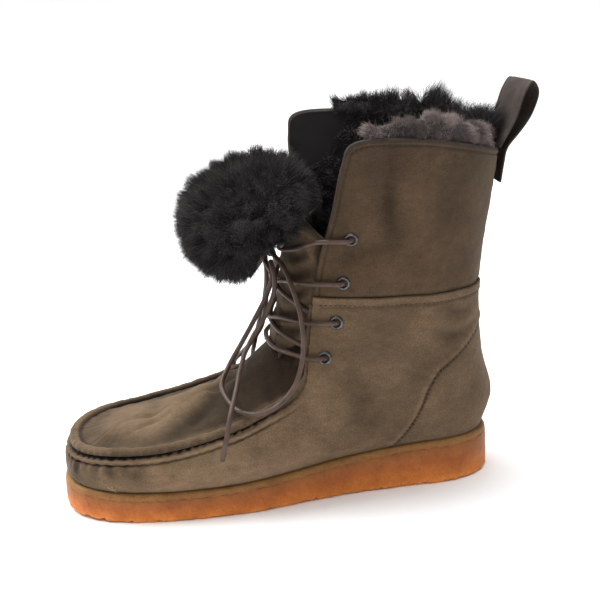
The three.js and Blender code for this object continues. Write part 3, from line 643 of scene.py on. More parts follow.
def crepe_material(name):
    """Natural crepe: amber that turns to honey towards the top, brightest at the floor partly as painted
    light, cloudy, with a crumpled skin.
    """
    material, tree, shader = new_material(name, 0.55, Specular_IOR_Level=0.35, Subsurface_Weight=0.2)
    shader.inputs["Subsurface Radius"].default_value = (0.005, 0.0018, 0.0005)
    level = ramp(
        tree, attribute(tree, "level"), (0.0, (0.90, 0.330, 0.060)), (0.18, (0.65, 0.195, 0.030)),
        (0.5, (0.42, 0.118, 0.018)), (0.82, (0.28, 0.098, 0.020)), (1.0, (0.28, 0.155, 0.046)))
    cloud = ramp(tree, noise(tree, 75, 5, 0.65), (0.3, (0.72, 0.66, 0.6)), (0.7, (1.12, 1.16, 1.2)))
    speck = ramp(tree, noise(tree, 620, 4, 0.7), (0.3, (0.8, 0.72, 0.62)), (0.5, grey(1.0)))
    tree.links.new(multiply(tree, level, multiply(tree, cloud, speck)), shader.inputs["Base Color"])
    bump(tree, shader, noise(tree, 300, 5, 0.66), 0.5, 0.0012)
    return material


def metal_material(name):
    material, tree, shader = new_material(name, 0.3, Metallic=1.0)
    tone = ramp(tree, noise(tree, 300, 3), (0.3, grey(0.05)), (0.75, grey(0.2)))
    tree.links.new(tone, shader.inputs["Base Color"])
    rough = ramp(tree, noise(tree, 700, 3), (0.3, grey(0.2)), (0.7, grey(0.42)))
    tree.links.new(rough, shader.inputs["Roughness"])
    return material


suede = suede_material("suede_taupe", (0.112, 0.073, 0.0425), (0.184, 0.1235, 0.0745))
# The shaft's suede is darker than the rest: partly its own colour, partly painted shade.
shaft_suede = suede_material("suede_olive", (0.058, 0.036, 0.0205), (0.096, 0.0615, 0.0365))
pile = fleece_material("fleece_charcoal", (0.003, 0.0025, 0.0024), (0.036, 0.031, 0.030))
collar_pile = fleece_material("fleece_mauve", (0.018, 0.0135, 0.0125), (0.34, 0.272, 0.254))
strap_leather = leather_material("leather_dark", (0.016, 0.010, 0.0075), (0.042, 0.026, 0.019), 0.75, 900)
lace_leather = leather_material("leather_lace", (0.042, 0.022, 0.016), (0.105, 0.060, 0.043), 0.44, 1200)
thread = leather_material("thread_brown", (0.020, 0.013, 0.009), (0.045, 0.030, 0.020), 0.7, 2500)
crepe = crepe_material("crepe_amber")
nickel = metal_material("nickel")

# Camera and light

camera = bpy.data.objects.new("camera", bpy.data.cameras.new("camera"))
camera.location = CAMERA["at"]
camera_turn = (Vector(CAMERA["aim"]) - camera.location).to_track_quat("-Z", "Y")
camera.rotation_euler = (camera_turn @ Quaternion((0, 0, 1), np.radians(CAMERA["roll"]))).to_euler()
camera.data.lens = CAMERA["lens"]
camera.data.sensor_width = 36
scene.collection.objects.link(camera)
scene.camera = camera

for name, at, size, power in LIGHTS:
    light = bpy.data.objects.new(name, bpy.data.lights.new(name, "AREA"))
    light.data.size = size
    light.data.energy = power
    light.location = at
    light.rotation_euler = (Vector(LIGHT_AIM) - light.location).to_track_quat("-Z", "Y").to_euler()
    scene.collection.objects.link(light)
sky = bpy.data.objects.new("sky", bpy.data.lights.new("sky", "SUN"))
sky.data.energy = 2.6
sky.data.angle = 1.2
sky.rotation_euler = Vector((0.3, 0.35, -1.3)).to_track_quat("-Z", "Y").to_euler()
scene.collection.objects.link(sky)
world = bpy.data.worlds.new("studio")
world.use_nodes = True
background = world.node_tree.nodes["Background"]
background.inputs["Color"].default_value = (1, 1, 1, 1)
background.inputs["Strength"].default_value = 0.3
scene.world = world
scene.view_settings.view_transform = "Standard"

floor_points = np.array([[-1, -1, 0], [1, -1, 0], [1, 1, 0], [-1, 1, 0]]) * FLOOR_REACH / MM
floor = make_mesh("floor", floor_points, [[0, 1, 2, 3]])
floor_material, floor_tree, floor_shader = new_material("floor_pale", 0.8)
floor_tone = ramp(floor_tree, noise(floor_tree, 2, 2), (0.3, grey(0.9)), (0.7, grey(0.93)))
floor_tree.links.new(floor_tone, floor_shader.inputs["Base Color"])
floor.data.materials.append(floor_material)

# Free lace: the knot, then the bow's two loops and two ends

lace_radius = LACE["diameter"] / 2
knot_strands = []
for shift, slant in ((-1.7, 0.8), (1.5, 0.8)):
    turn = np.linspace(-0.7 * np.pi, 0.7 * np.pi, 15)
    knot_strands.append(np.stack([
        KNOT[0] + 2.3 * np.cos(turn), shift + slant * np.sin(turn), KNOT[2] + 3.6 * np.sin(turn)], -1))
for side in (1, -1):
    knot_strands.append(np.array([
        (KNOT[0] - 0.5, side * 7.5, KNOT[2] - 1.2), (KNOT[0] + 0.6, side * 4, KNOT[2] + 0.6),
        (KNOT[0] + 0.8, 0, KNOT[2] + 0.2 * side), (KNOT[0] + 0.2, -side * 3, KNOT[2] - 2)]))
knot_tubes = [tube(smooth_route(place(strand), 40), lace_radius) for strand in knot_strands]
knot = make_mesh("lace_knot_wraps", *join(knot_tubes))
dress(knot, lace_leather, "lace", "lace_knot")


def free_lace(name, route, node):
    path = smooth_route(place(route), 160)
    piece = make_mesh(name, *tube(path, lace_radius))
    dress(piece, lace_leather, "lace", node)


free_lace("bow_loop_inner", LOOP_INNER, "lace_loop_inner")
free_lace("bow_loop_outer", LOOP_OUTER, "lace_loop_outer")
free_lace("bow_end_inner", END_INNER, "lace_end_inner")
free_lace("bow_end_outer", END_OUTER, "lace_end_outer")


# Sole

def sole_stations(inset):
    """Places along the sole, closer together where its outline turns."""
    turn = np.linspace(0, np.pi / 2, SOLE_STEPS["heel"], endpoint=False)
    fore = np.sin(np.linspace(0, np.pi / 2, SOLE_STEPS["toe"])) ** (2 / SOLE["toe_power"])
    return np.concatenate([
        inset + (SOLE["heel_round"] - inset) * (1 - np.cos(turn)),
        np.linspace(SOLE["heel_round"], SOLE["ball_along"], SOLE_STEPS["body"], endpoint=False),
        mix(SOLE["ball_along"], SOLE["length"] - inset, fore),
    ])


def sole_loop(inset, height):
    along = sole_stations(inset)
    sides = []
    for side in (1, -1):
        out = side * sole_half(along, inset, side)
        sides.append(np.stack([along, out, height(along)], -1))
    return np.vstack([sides[0], sides[1][::-1]])


def sole_ring(profile, roughness, ragged, seed):
    """A band round the sole from (inset, height) rows, a little rough, with a ragged lower edge."""
    loops = np.array([place(sole_loop(inset, height)) for inset, height in profile])
    grid = loops.transpose(1, 0, 2)
    centre = grid.mean(1, keepdims=True)
    around = np.roll(centre, -1, 0) - np.roll(centre, 1, 0)
    outward = unit(np.cross(around, [0.0, 0.0, 1.0]))
    outward *= np.sign((outward * (centre - centre.mean(0))).sum(-1, keepdims=True))
    low = 1 + 2.2 * hump(grid[..., 2] - grid[..., 2].min(1, keepdims=True), 2.5)
    rough = roughness * low * (lumps(grid, 8, seed) + 0.7 * lumps(grid, 3.2, seed + 1))
    grid = grid + outward * rough[..., None]
    height = grid[..., 2] - grid[..., 2].min(1, keepdims=True)
    grid[..., 2] += ragged * hump(height, 1.8) * np.clip(lumps(grid * [1, 1, 0], 4.5, seed + 2), 0, 1)
    return grid, grid_faces(grid.shape[0], grid.shape[1], wrap_rows=True)


def outsole_top(along):
    return sole_top(along) - MIDSOLE_THICK - GAP


def midsole_low(along):
    return sole_top(along) - MIDSOLE_THICK


def between(low, high, t, lift=0.0):
    """A height at a share of the way from one height to another, and a lift above that."""
    return lambda along: mix(low(along), high(along), t) + lift


# inset, and lift above the sole's lower edge or its upper edge
LOWER_EDGE = [(20, 0.2), (6, 0), (2.4, 0), (1.5, 0.1), (0.9, 0.5), (0.5, 1.1), (0.25, 2.0), (0.1, 3.2)]
UPPER_EDGE = [(0.1, 0), (0.2, 0.2), (0.4, 0.3), (4, 0.3)]
outsole_rows = [(inset, between(sole_bottom, outsole_top, 0, lift)) for inset, lift in LOWER_EDGE]
outsole_rows += [(0.05, between(sole_bottom, outsole_top, t)) for t in np.linspace(0.34, 0.86, 9)]
outsole_rows += [(inset, between(sole_bottom, outsole_top, 1, lift)) for inset, lift in UPPER_EDGE]
ring_points, ring_faces = sole_ring(outsole_rows, 0.22, 1.5, 11)

under_inset = 18
under_along = sole_stations(under_inset)[:, None]
under_across = np.linspace(-1, 1, UNDERSIDE_ROWS)
under_half = sole_half(under_along, under_inset, np.where(under_across > 0, 1, -1))
under = place(np.stack(np.broadcast_arrays(
    under_along, under_across * under_half, sole_bottom(under_along)), -1))
under[..., 2] += 0.25 + 0.2 * lumps(under, 6, 12)
level = ring_points[..., 2] - ring_points[..., 2].min(1, keepdims=True)
level = level / level.max(1, keepdims=True)
outsole = make_mesh(
    "outsole_crepe",
    *join([(ring_points.reshape(-1, 3), ring_faces), sheet(under)]),
    level=np.concatenate([0.82 * level.ravel(), np.zeros(under[..., 0].size)]))
dress(outsole, crepe, "crepe", "outsole")

# inset, and share of the midsole's height
MIDSOLE_EDGE = [
    (5, -0.06), (0.3, -0.06), (0.25, 0.05), (0.3, 0.3), (0.4, 0.5),
    (0.65, 0.7), (1.2, 0.87), (2.0, 0.98), (3, 1.0), (6, 1.0),
]
midsole_rows = [(inset, between(midsole_low, sole_top, t)) for inset, t in MIDSOLE_EDGE]
midsole_points, midsole_faces = sole_ring(midsole_rows, 0.1, 0, 21)
level = np.interp(np.arange(len(midsole_rows)), [1, 5, 8], [0.84, 0.93, 1.0])
midsole = make_mesh("midsole_crepe", midsole_points, midsole_faces, level=np.tile(level, len(midsole_points)))
dress(midsole, crepe, "crepe_rim", "midsole")


# Upper and shaft

def eased(count):
    """Rows from 0 to 1, closer together at both ends."""
    t = np.linspace(0, 1, count)
    return t - ROW_EASE * np.sin(2 * np.pi * t) / (2 * np.pi)


def rim_rows(grid, normal, thick):
    """Rows that roll over the top edge of a grid to the back of its leather."""
    top = grid[:, -1]
    rise = unit(grid[:, -1] - grid[:, -4])
    square = unit(normal[:, -1] - rise * (normal[:, -1] * rise).sum(-1, keepdims=True))
    turns = np.linspace(0, np.pi, 8)[1:]
    return np.stack([
        top + rise * np.sin(turn) * thick / 2 - square * (1 - np.cos(turn)) * thick / 2 for turn in turns], 1)


def facing_rows(u, depth, thick):
    """Rows that run down behind the upper edge to a depth in each column."""
    length = np.linalg.norm(upper_at(u, np.ones_like(u)) - upper_at(u, np.full_like(u, 0.5)), axis=-1) * 2
    rows = []
    for share in (0.03, 0.12, 0.3, 0.5, 0.75, 1):
        v = np.maximum(0.05, 1 - share * depth / length)
        rows.append(upper_at(u, v) - upper_normal(u, v) * thick)
    return np.stack(rows, 1)


def edge_gap(grid):
    """Distance in millimetres of each grid point from the grid's upper edge, up to a reach."""
    edge = grid[:, -1]
    gap = np.full(grid.shape[:2], float(EDGE_REACH))
    for row in range(grid.shape[1]):
        points = grid[:, row]
        if np.linalg.norm(points - edge, axis=-1).min() > 3 * EDGE_REACH:
            continue
        away = np.linalg.norm(points[:, None] - edge[None], axis=-1).min(1)
        gap[:, row] = np.minimum(gap[:, row], away)
    return gap


def line_at_gap(grid, normal, top_gap, gap, first_row):
    """The line just above a grid at a distance below its upper edge, looked for from a row upwards."""
    column = np.arange(len(grid))
    row = np.argmin(np.abs(top_gap[:, first_row:] - gap), 1) + first_row
    return grid[column, row] + normal[column, row] * THREAD_LIFT


def patches(flat, side):
    """Soft darker and paler places of the suede."""
    shade = np.zeros(side.shape)
    for patch_side, along, up, reach_along, reach_up, amount in PATCHES:
        away = hump((flat[..., 0] - along) / reach_along, 1) * hump((flat[..., 2] - up) / reach_up, 1)
        shade += amount * away * (side == patch_side)
    return shade


def edge_distances(grid):
    """Distance in millimetres of each grid point from the low end of its column."""
    steps = np.linalg.norm(np.diff(grid, axis=1), axis=-1)
    return np.concatenate([np.zeros((len(grid), 1)), np.cumsum(steps, 1)], 1)


def side_relief(flat, side):
    """Soft creases and unevenness of the suede, in millimetres."""
    along, up = flat[..., 0], flat[..., 2]
    relief = np.zeros(along.shape)
    for crease_side, *points, width, depth in SIDE_CREASES:
        relief += trough(along, up, points, width, depth) * (side == crease_side)
    return relief + 0.45 * lumps(flat, 34, 3) + 0.2 * lumps(flat, 11, 4)


def counter_seam(flat):
    """Relief and shade of the seam that sets off the heel counter: dark stitch holes, and a painted highlight
    on the raised edge in front of it.
    """
    away, reach = line_distance(flat[..., 0], flat[..., 2], COUNTER_SEAM)
    holes = 0.62 + 0.38 * np.sin(reach * 2 * np.pi * COUNTER_HOLES)
    relief = 0.9 * hump(away + 2.4, 1.8) - 1.0 * holes * hump(away, 0.9)
    return relief, 0.95 * holes * hump(away, 1.1) - 0.16 * hump(away + 2.6, 1.5)


def gather_wave(edge):
    """Uneven scallops along an edge, from the gathers sewn into it."""
    reach = run_lengths(edge)
    return np.sin(reach * 2 * np.pi / 5.6 + 1.6 * np.sin(reach * 2 * np.pi / 33))


columns = np.linspace(0, RING, UPPER_GRID[0], endpoint=False)
top_v = seam_v(columns)
v_grid = top_v[:, None] * eased(UPPER_GRID[1])
u_grid = np.repeat(columns[:, None], UPPER_GRID[1], 1)
flat = upper_point(u_grid, v_grid)
grid = place(flat)
normal = upper_normal(u_grid, v_grid)
low_away = edge_distances(grid)
top_gap = edge_gap(grid)
mirror_u = np.minimum(u_grid, RING - u_grid)
side = np.where(u_grid <= RING / 2, 1, -1)
# Where the wall's upper edge is sewn to the apron, and where it is sewn to the shaft.
by_apron = 1 - smoothstep(mirror_u, 4.9, 6.4)
by_seam = smoothstep(mirror_u, 8.05, 8.35)
wave = gather_wave(grid[:, -1])[:, None]
gathered = top_gap + 0.22 * wave * smoothstep(top_gap, 1, 4)
ragged = top_gap + 0.6 * lumps(grid, 3.6, 8) + 0.35 * wave
along, out, up = (flat[..., k] for k in range(3))
gather_ridge = hump(gathered - 4.2, 1.0)
gather_stitch = hump(gathered - 5.9, 0.7)
band_edge = hump(top_gap - 5, 0.8)

relief = side_relief(flat, side) * smoothstep(low_away, 1, 8)
relief += by_apron * (1.1 * gather_ridge - 0.8 * gather_stitch - 1.5 * hump(ragged, 2.1))
relief += by_seam * (0.6 * (1 - smoothstep(top_gap, 3.8, 4.8)) - 0.25 * band_edge)
# Gathers below the apron's seam, on both sides of the toe.
for pucker_u, length, width, depth in PUCKERS:
    near = np.argmin(np.abs(columns - pucker_u))
    for centre in (near, (len(columns) - near) % len(columns)):
        away = np.linalg.norm((grid - grid[centre])[..., :2], axis=-1)
        fade = smoothstep(top_gap, 4, 6) * (1 - smoothstep(top_gap, 0.35 * length, length))
        relief += fade * depth * (0.5 * hump(away - 2 * width, width) - hump(away, width))
# A short upright seam in the middle of the toe.
toe_seam = (along > 240) * hump(out, 0.9)
relief -= 0.8 * toe_seam
counter_relief, counter_shade = counter_seam(flat)
counter = by_seam * smoothstep(low_away, 0, 4)
relief += counter * counter_relief

# Painted light: the wall paler from the quarter towards the ball, and low down where the floor lights it;
# painted shade over the toe.
shade = mix(0.84, 1.12, smoothstep(along, 70, 150)) + 0.24 * (1 - smoothstep(up, 22, 52))
shade -= 0.54 * smoothstep(along, 212, 250)
shade += 0.15 * lumps(flat, 42, 5) + patches(flat, side)
# Painted shade along the foot, where the upper meets the sole.
shade -= 0.15 * hump(low_away, 1.6)
# Painted shade in the gap under the apron's lip, wider towards the toe; the stitch line below it is dark, and
# the roll between them has a painted highlight.
groove = 1 - smoothstep(ragged + 0.9 * (1 - smoothstep(along, 190, 240)), 1.9, 2.9)
shade -= by_apron * (0.55 * gather_stitch + 0.95 * groove - 0.1 * gather_ridge)
shade -= by_seam * (0.2 * band_edge - 0.12 * hump(top_gap - 2.2, 1.8))
shade -= counter * counter_shade + 0.4 * toe_seam
# Painted shade in the creases and gathers, painted light on their ridges.
shade += np.clip(relief, -1.5, 1.0) * 0.12

grid = grid + normal * relief[..., None]
band_line = line_at_gap(grid, normal, top_gap, 4.0, 40)[by_seam[:, -1] > 0.9]
inner = np.flatnonzero(side > 0)
scuffs = []
for scratch in SCUFFS:
    line = smooth_route(scratch, 10)
    away = np.hypot(along.flat[inner][:, None] - line[:, 0], up.flat[inner][:, None] - line[:, 1])
    near = (grid + normal * 0.15).reshape(-1, 3)[inner[away.argmin(0)]]
    scuffs.append(tube(smooth_route(near, 24), 0.28, 6))
points, faces = join(scuffs)
scuff = make_mesh("toe_scuffs", points, faces, shade=np.full(len(points), SCUFF_SHADE))
dress(scuff, suede, "suede")
rim = rim_rows(grid, normal, 1.9)
# The edge beside the tongue is faced on its inner side; the band at the shaft seam only turns over.
facing = facing_rows(columns, np.where(top_v < 1, 1.0, 12.0), 2.6)
facing = np.where((top_v < 1)[:, None, None], rim[:, -1:], facing)
points = np.concatenate([grid, rim, facing], 1)
edge_shade = np.repeat(shade[:, -1:] * 0.7, points.shape[1] - UPPER_GRID[1], 1)
upper = make_mesh(
    "upper_suede", *sheet(points, wrap_rows=True),
    shade=np.clip(np.concatenate([shade, edge_shade], 1), *SHADE_LIMITS))
dress(upper, suede, "suede", "upper")

# The shaft starts where the front edge crosses the seam, with its foot tucked behind the upper's band.
front_u = np.linspace(7.5, 9, 4000)
front_u = front_u[np.argmax(seam_v(front_u) < 1)]
columns = np.linspace(front_u, RING - front_u, SHAFT_GRID[0])
bottom_v = seam_v(columns)
v_grid = mix(bottom_v[:, None] - 0.03, 1, eased(SHAFT_GRID[1]))
u_grid = np.repeat(columns[:, None], SHAFT_GRID[1], 1)
flat = upper_point(u_grid, v_grid)
grid = place(flat)
normal = upper_normal(u_grid, v_grid)
tucked_in = np.linalg.norm(grid[:, 0] - upper_at(columns, bottom_v), axis=-1)
low_away = edge_distances(grid) - tucked_in[:, None]
top_gap = edge_gap(grid)
side = np.where(u_grid <= RING / 2, 1, -1)
relief = side_relief(flat, side) * smoothstep(top_gap, 0, 10)
relief += 0.25 * hump(top_gap - 1.3, 1.0) - 0.4 * hump(top_gap - 3.0, 0.7)
relief -= 1.1 * (1 - smoothstep(low_away, 0.5, 5))
# Painted light: the shaft paler low down, where the floor lights it; painted shade in its creases and where
# its foot tucks behind the band.
shade = mix(1.12, 0.82, smoothstep(flat[..., 2], 115, 205)) + 0.12 * lumps(flat, 46, 6)
shade += patches(flat, side) + np.clip(relief, -1.0, 1.0) * 0.12
shade -= 0.75 * (1 - smoothstep(low_away, 0.4, 2.0))
shade -= 0.16 * hump(top_gap - 3.0, 0.8) + 0.2 * hump(top_gap, 1.2)
grid = grid + normal * relief[..., None]
edge_stitch_line = line_at_gap(grid, normal, top_gap, 3.0, 30)
mirror_u = np.minimum(columns, RING - columns)
flap = 1 - smoothstep(mirror_u, 11.9, 12.8)
rim = rim_rows(grid, normal, 2.6)
points = np.concatenate([grid, rim, facing_rows(columns, mix(3.0, 32.0, flap), 3.0)], 1)
edge_shade = np.repeat(shade[:, -1:] * 0.6, points.shape[1] - SHAFT_GRID[1], 1)
shaft = make_mesh(
    "shaft_suede", *sheet(points), shade=np.clip(np.concatenate([shade, edge_shade], 1), *SHADE_LIMITS))
dress(shaft, shaft_suede, "suede", "shaft")
# The rolled edge and the facing behind it are smooth leather.
shaft.data.materials.append(strap_leather)
row_of_face = np.tile(np.arange(points.shape[1] - 1), len(columns) - 1)
rolled = row_of_face >= SHAFT_GRID[1] - 2
shaft.data.polygons.foreach_set("material_index", rolled.astype(np.int32))

# Lining: a soft dark skin behind the walls

columns = np.linspace(0, RING, LINING_GRID[0], endpoint=False)
u_grid, v_grid = np.meshgrid(columns, np.linspace(0.03, 0.995, LINING_GRID[1]), indexing="ij")
normal = upper_normal(u_grid, v_grid)
grid = upper_at(u_grid, v_grid) - normal * wall_at(u_grid, v_grid)[..., None]
grid += (0.8 * lumps(grid, 9, 31))[..., None] * normal
# The lowest row is tucked in, which closes the foot beside the insole.
grid[:, 0] = grid[:, 1] - normal[:, 0] * 5 - [0, 0, 2.5]
points, faces = sheet(grid, wrap_rows=True)
lining = make_mesh(
    "lining_fleece", points, faces[:, ::-1], tip=np.full(len(points), 0.3), tone=np.full(len(points), 0.5))
dress(lining, pile, "lining")
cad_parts["insole"].data.materials.clear()
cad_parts["insole"].data.materials.append(strap_leather)


# Apron

def spine_height(along):
    table = smooth_route(SPINE[::-1], 200)
    return np.interp(along, table[:, 0], table[:, 1])


# The lip is rolled along the wall's edge, upright at the toe and turning with the edge up the instep.
edge_u = np.linspace(-8.0, 8.0, APRON_EDGE_STEPS)
edge_v = np.ones_like(edge_u)
edge_flat = upper_point(edge_u % RING, edge_v)
edge = place(edge_flat)
steep = smoothstep(np.abs(edge_u), 5.2, 6.6)[:, None]
small = mix(1, 0.5, smoothstep(np.abs(edge_u), 5.6, 7.9))[:, None]
run = unit(np.gradient(edge, axis=0))
rise = unit(mix(np.array([0.0, 0.0, 1.0]), unit(edge - upper_at(edge_u % RING, 0.96 * edge_v)), steep))
rise = unit(rise - run * (rise * run).sum(-1, keepdims=True))
inward = np.cross(run, rise)
inward *= -np.sign((inward * upper_normal(edge_u % RING, edge_v)).sum(-1, keepdims=True))
wave = gather_wave(edge)[:, None]
rows = []
for k, (across, height) in enumerate(smooth_route(LIP, LIP_ROWS)):
    frill = 0.55 * hump(k - 4, 4) * wave
    rows.append(edge + (inward * (across - frill) + rise * (height + 0.5 * frill)) * small)
lip_points = np.stack(rows, 1)
lip_relief = 0.35 * lumps(lip_points, 9, 44) + 0.2 * lumps(lip_points, 4, 45)
lip_points += rise[:, None] * (lip_relief * np.linspace(0, 1, LIP_ROWS) ** 0.5)[..., None]
lip_row = np.arange(LIP_ROWS)
# Painted shade under the lip, at its inner foot and over the outer side's lip; painted light along the
# crest's inner edge and on its bumps.
lip_shade = 0.72 + 0.1 * lumps(lip_points, 30, 46) + 0.2 * lip_relief - 0.75 * hump(lip_row, 4.0)
lip_shade += 0.2 * hump(lip_row - 17, 1.6) - 0.5 * hump(lip_row - 23, 2.6)
lip_shade -= 0.4 * smoothstep(lip_row, 8, 12) * smoothstep(-edge_u, 1.6, 3.0)[:, None]

# The plug inside the lip, in rows from the lip to the middle line.
body = np.abs(edge_u) < 7.6
start = lip_points[body, -1]
spine_along = np.minimum(edge_flat[body, 0], 222 + 4 * np.tanh((edge_flat[body, 0] - 222) / 20))
spine = place(np.stack([spine_along, np.zeros_like(spine_along), spine_height(spine_along)], -1))
rows = [start]
for share in np.linspace(0, 1, APRON_ROWS)[1:]:
    row = mix(start, spine, share)
    row[:, 2] = mix(start[:, 2], spine[:, 2], smoothstep(share, -0.06, 1.0) ** 0.9)
    rows.append(row)
apron_points = np.stack(rows, 1)
plan_along = SOLE["length"] / 2 - apron_points[..., 1]
reach = np.maximum(0, (plan_along - SOLE["swing_from"]) / (SOLE["length"] - SOLE["swing_from"]))
plan_out = apron_points[..., 0] - SOLE["toe_swing"] * reach**2
relief = np.zeros(plan_along.shape)
for *crease, width, depth in APRON_CREASES:
    relief += trough(plan_along, plan_out, crease, width, depth)
relief += 0.5 * lumps(apron_points, 30, 41) + 0.25 * lumps(apron_points, 10, 42)
apron_row = np.arange(APRON_ROWS)
inside = np.clip(apron_row / 8, 0, 1)[None]
apron_points[..., 2] += relief * inside
# Painted shade in the hollow on either side below the lacing, more so on the inner side; more painted shade
# in the creases, towards the toe, along the lip's foot and on the slope down to the lip.
fade = (1 - 0.35 * smoothstep(plan_along, 180, 205)) * (1 - smoothstep(plan_along, 200, 226))
hollow_shade = fade * smoothstep(line_distance(plan_along, plan_out, HOLLOW_SHADE_EDGE)[0], -3, 12)
outer_hollow_shade = fade * smoothstep(line_distance(plan_along, -plan_out, HOLLOW_SHADE_EDGE)[0], 0, 16)
near_lip_shade = (1 - smoothstep(apron_row, 14, 40)) * mix(0.15, 0.32, smoothstep(plan_out, -8, 8))
shade = 0.9 + 0.14 * lumps(apron_points, 36, 43) + np.clip(relief, -2, 1) * 0.16 * (1 - 0.8 * hollow_shade)
shade -= 0.22 * smoothstep(plan_along, 222, 246)
shade -= 0.6 * hump(apron_row, 2.5)[None] + (0.7 * hollow_shade + 0.45 * outer_hollow_shade) * inside
shade = np.maximum(shade - near_lip_shade * (1 - hollow_shade), 0.19)
points, faces = join([sheet(lip_points), sheet(apron_points)])
apron = make_mesh(
    "apron_suede", points, faces[:, ::-1],
    shade=np.clip(np.concatenate([lip_shade.ravel(), shade.ravel()]), *SHADE_LIMITS))
dress(apron, suede, "suede", "apron")

# Tongue

height, across = np.linspace(-0.08, 1.06, TONGUE_GRID[0]), np.linspace(-1, 1, TONGUE_GRID[1])
v_grid, w_grid = np.meshgrid(height, across, indexing="ij")
# The foot of the tongue is drawn in under the apron.
drawn_in = mix(0.5, 1, smoothstep(v_grid, 0, 0.36)) * w_grid
face = tongue_at(v_grid, drawn_in, 0)
face[..., 1] -= 8 * smoothstep(v_grid, 0.74, 1.0) * w_grid**2
tab = (1 - smoothstep(np.abs(w_grid), 0.38, 0.42)) * (1 - smoothstep(v_grid, 0.28, 0.3))
relief = 0.8 * tab + 0.4 * lumps(face, 22, 52) + 0.25 * lumps(face, 8, 54)
for *fold, width, depth in TONGUE_FOLDS:
    relief += trough(np.abs(face[..., 0]), face[..., 2], fold, width, depth) * (1 - tab)
around, rise = np.gradient(face, axis=1), np.gradient(face, axis=0)
normal = unit(np.cross(rise, around))
normal *= np.sign(-normal[..., 1:2])
back = tongue_at(v_grid, drawn_in, tongue_column(5, np.clip(v_grid, 0, 1)) * (1 - 0.4 * w_grid**2))
face = face + normal * relief[..., None]
# Painted shade over the tongue, which lies in the lacing's shade, and in its folds; its turned-over top is
# paler with painted light.
shade = 0.55 + 0.1 * lumps(face, 30, 53) + np.clip(relief, -1.5, 1) * 0.16
shade += 0.35 * smoothstep(v_grid, 0.78, 0.96)
loop = np.concatenate([face, back[:, ::-1]], 1)
# The back of the tongue is darkened with painted shade.
loop_shade = np.concatenate([shade, np.full(shade.shape, 0.3)], 1)
parts = [sheet(loop, wrap_columns=True)]
shades = [loop_shade.ravel()]
# A gathered gusset on either side, from the tongue to the back of the flap.
for side in (1, -1):
    height = np.linspace(0, 1, GUSSET_GRID[0])
    near_edge = tongue_at(mix(0.1, 0.62, height), 0.93 * side, 0.4)
    u = mix(6.6, 9.2, height)
    u = u if side > 0 else RING - u
    v = np.full_like(u, 0.9)
    behind = upper_at(u, v) - upper_normal(u, v) * (wall_at(u, v)[:, None] + 0.6)
    across = np.linspace(0, 1, GUSSET_GRID[1])
    strip = mix(near_edge[:, None], behind[:, None], across[None, :, None])
    belly = np.sin(np.pi * across)
    ripple = 1.2 * belly * np.sin(strip[..., 2] * 2 * np.pi / 10 + strip[..., 1] * 0.3)
    strip[..., 0] += side * ripple - side * 4 * belly
    parts.append(sheet(strip))
    # Painted shade over the gussets, lighter and darker over their ripples.
    shades.append((0.3 + 0.1 * ripple).ravel())
tongue = make_mesh("tongue_suede", *join(parts), shade=np.clip(np.concatenate(shades), *SHADE_LIMITS))
dress(tongue, suede, "suede", "tongue")


# Fleece

def welded(node):
    """Points, triangles, point normals and areas of a node in millimetres, with doubled points joined."""
    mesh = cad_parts[node].data
    mesh.calc_loop_triangles()
    points = np.empty(len(mesh.vertices) * 3)
    mesh.vertices.foreach_get("co", points)
    corners = np.empty(len(mesh.loop_triangles) * 3, np.int32)
    mesh.loop_triangles.foreach_get("vertices", corners)
    points = points.reshape(-1, 3) / MM
    _, first, same = np.unique(np.round(points, 2), axis=0, return_index=True, return_inverse=True)
    points, triangles = points[first], same.ravel()[corners].reshape(-1, 3)
    a, b, c = (points[triangles[:, k]] for k in range(3))
    facing = np.cross(b - a, c - a)
    normals = np.zeros_like(points)
    for k in range(3):
        np.add.at(normals, triangles[:, k], facing)
    return points, triangles, unit(normals), np.linalg.norm(facing, axis=1) / 2


def scatter(points, triangles, normals, areas, count, rng):
    """Even random roots over a triangle skin, with their normals."""
    chosen = triangles[rng.choice(len(triangles), count, p=areas / areas.sum())]
    a, b = rng.random((2, count, 1))
    flip = a + b > 1
    a, b = np.where(flip, 1 - a, a), np.where(flip, 1 - b, b)
    shares = np.stack([1 - a - b, a, b], 1)
    return (points[chosen] * shares).sum(1), unit((normals[chosen] * shares).sum(1))


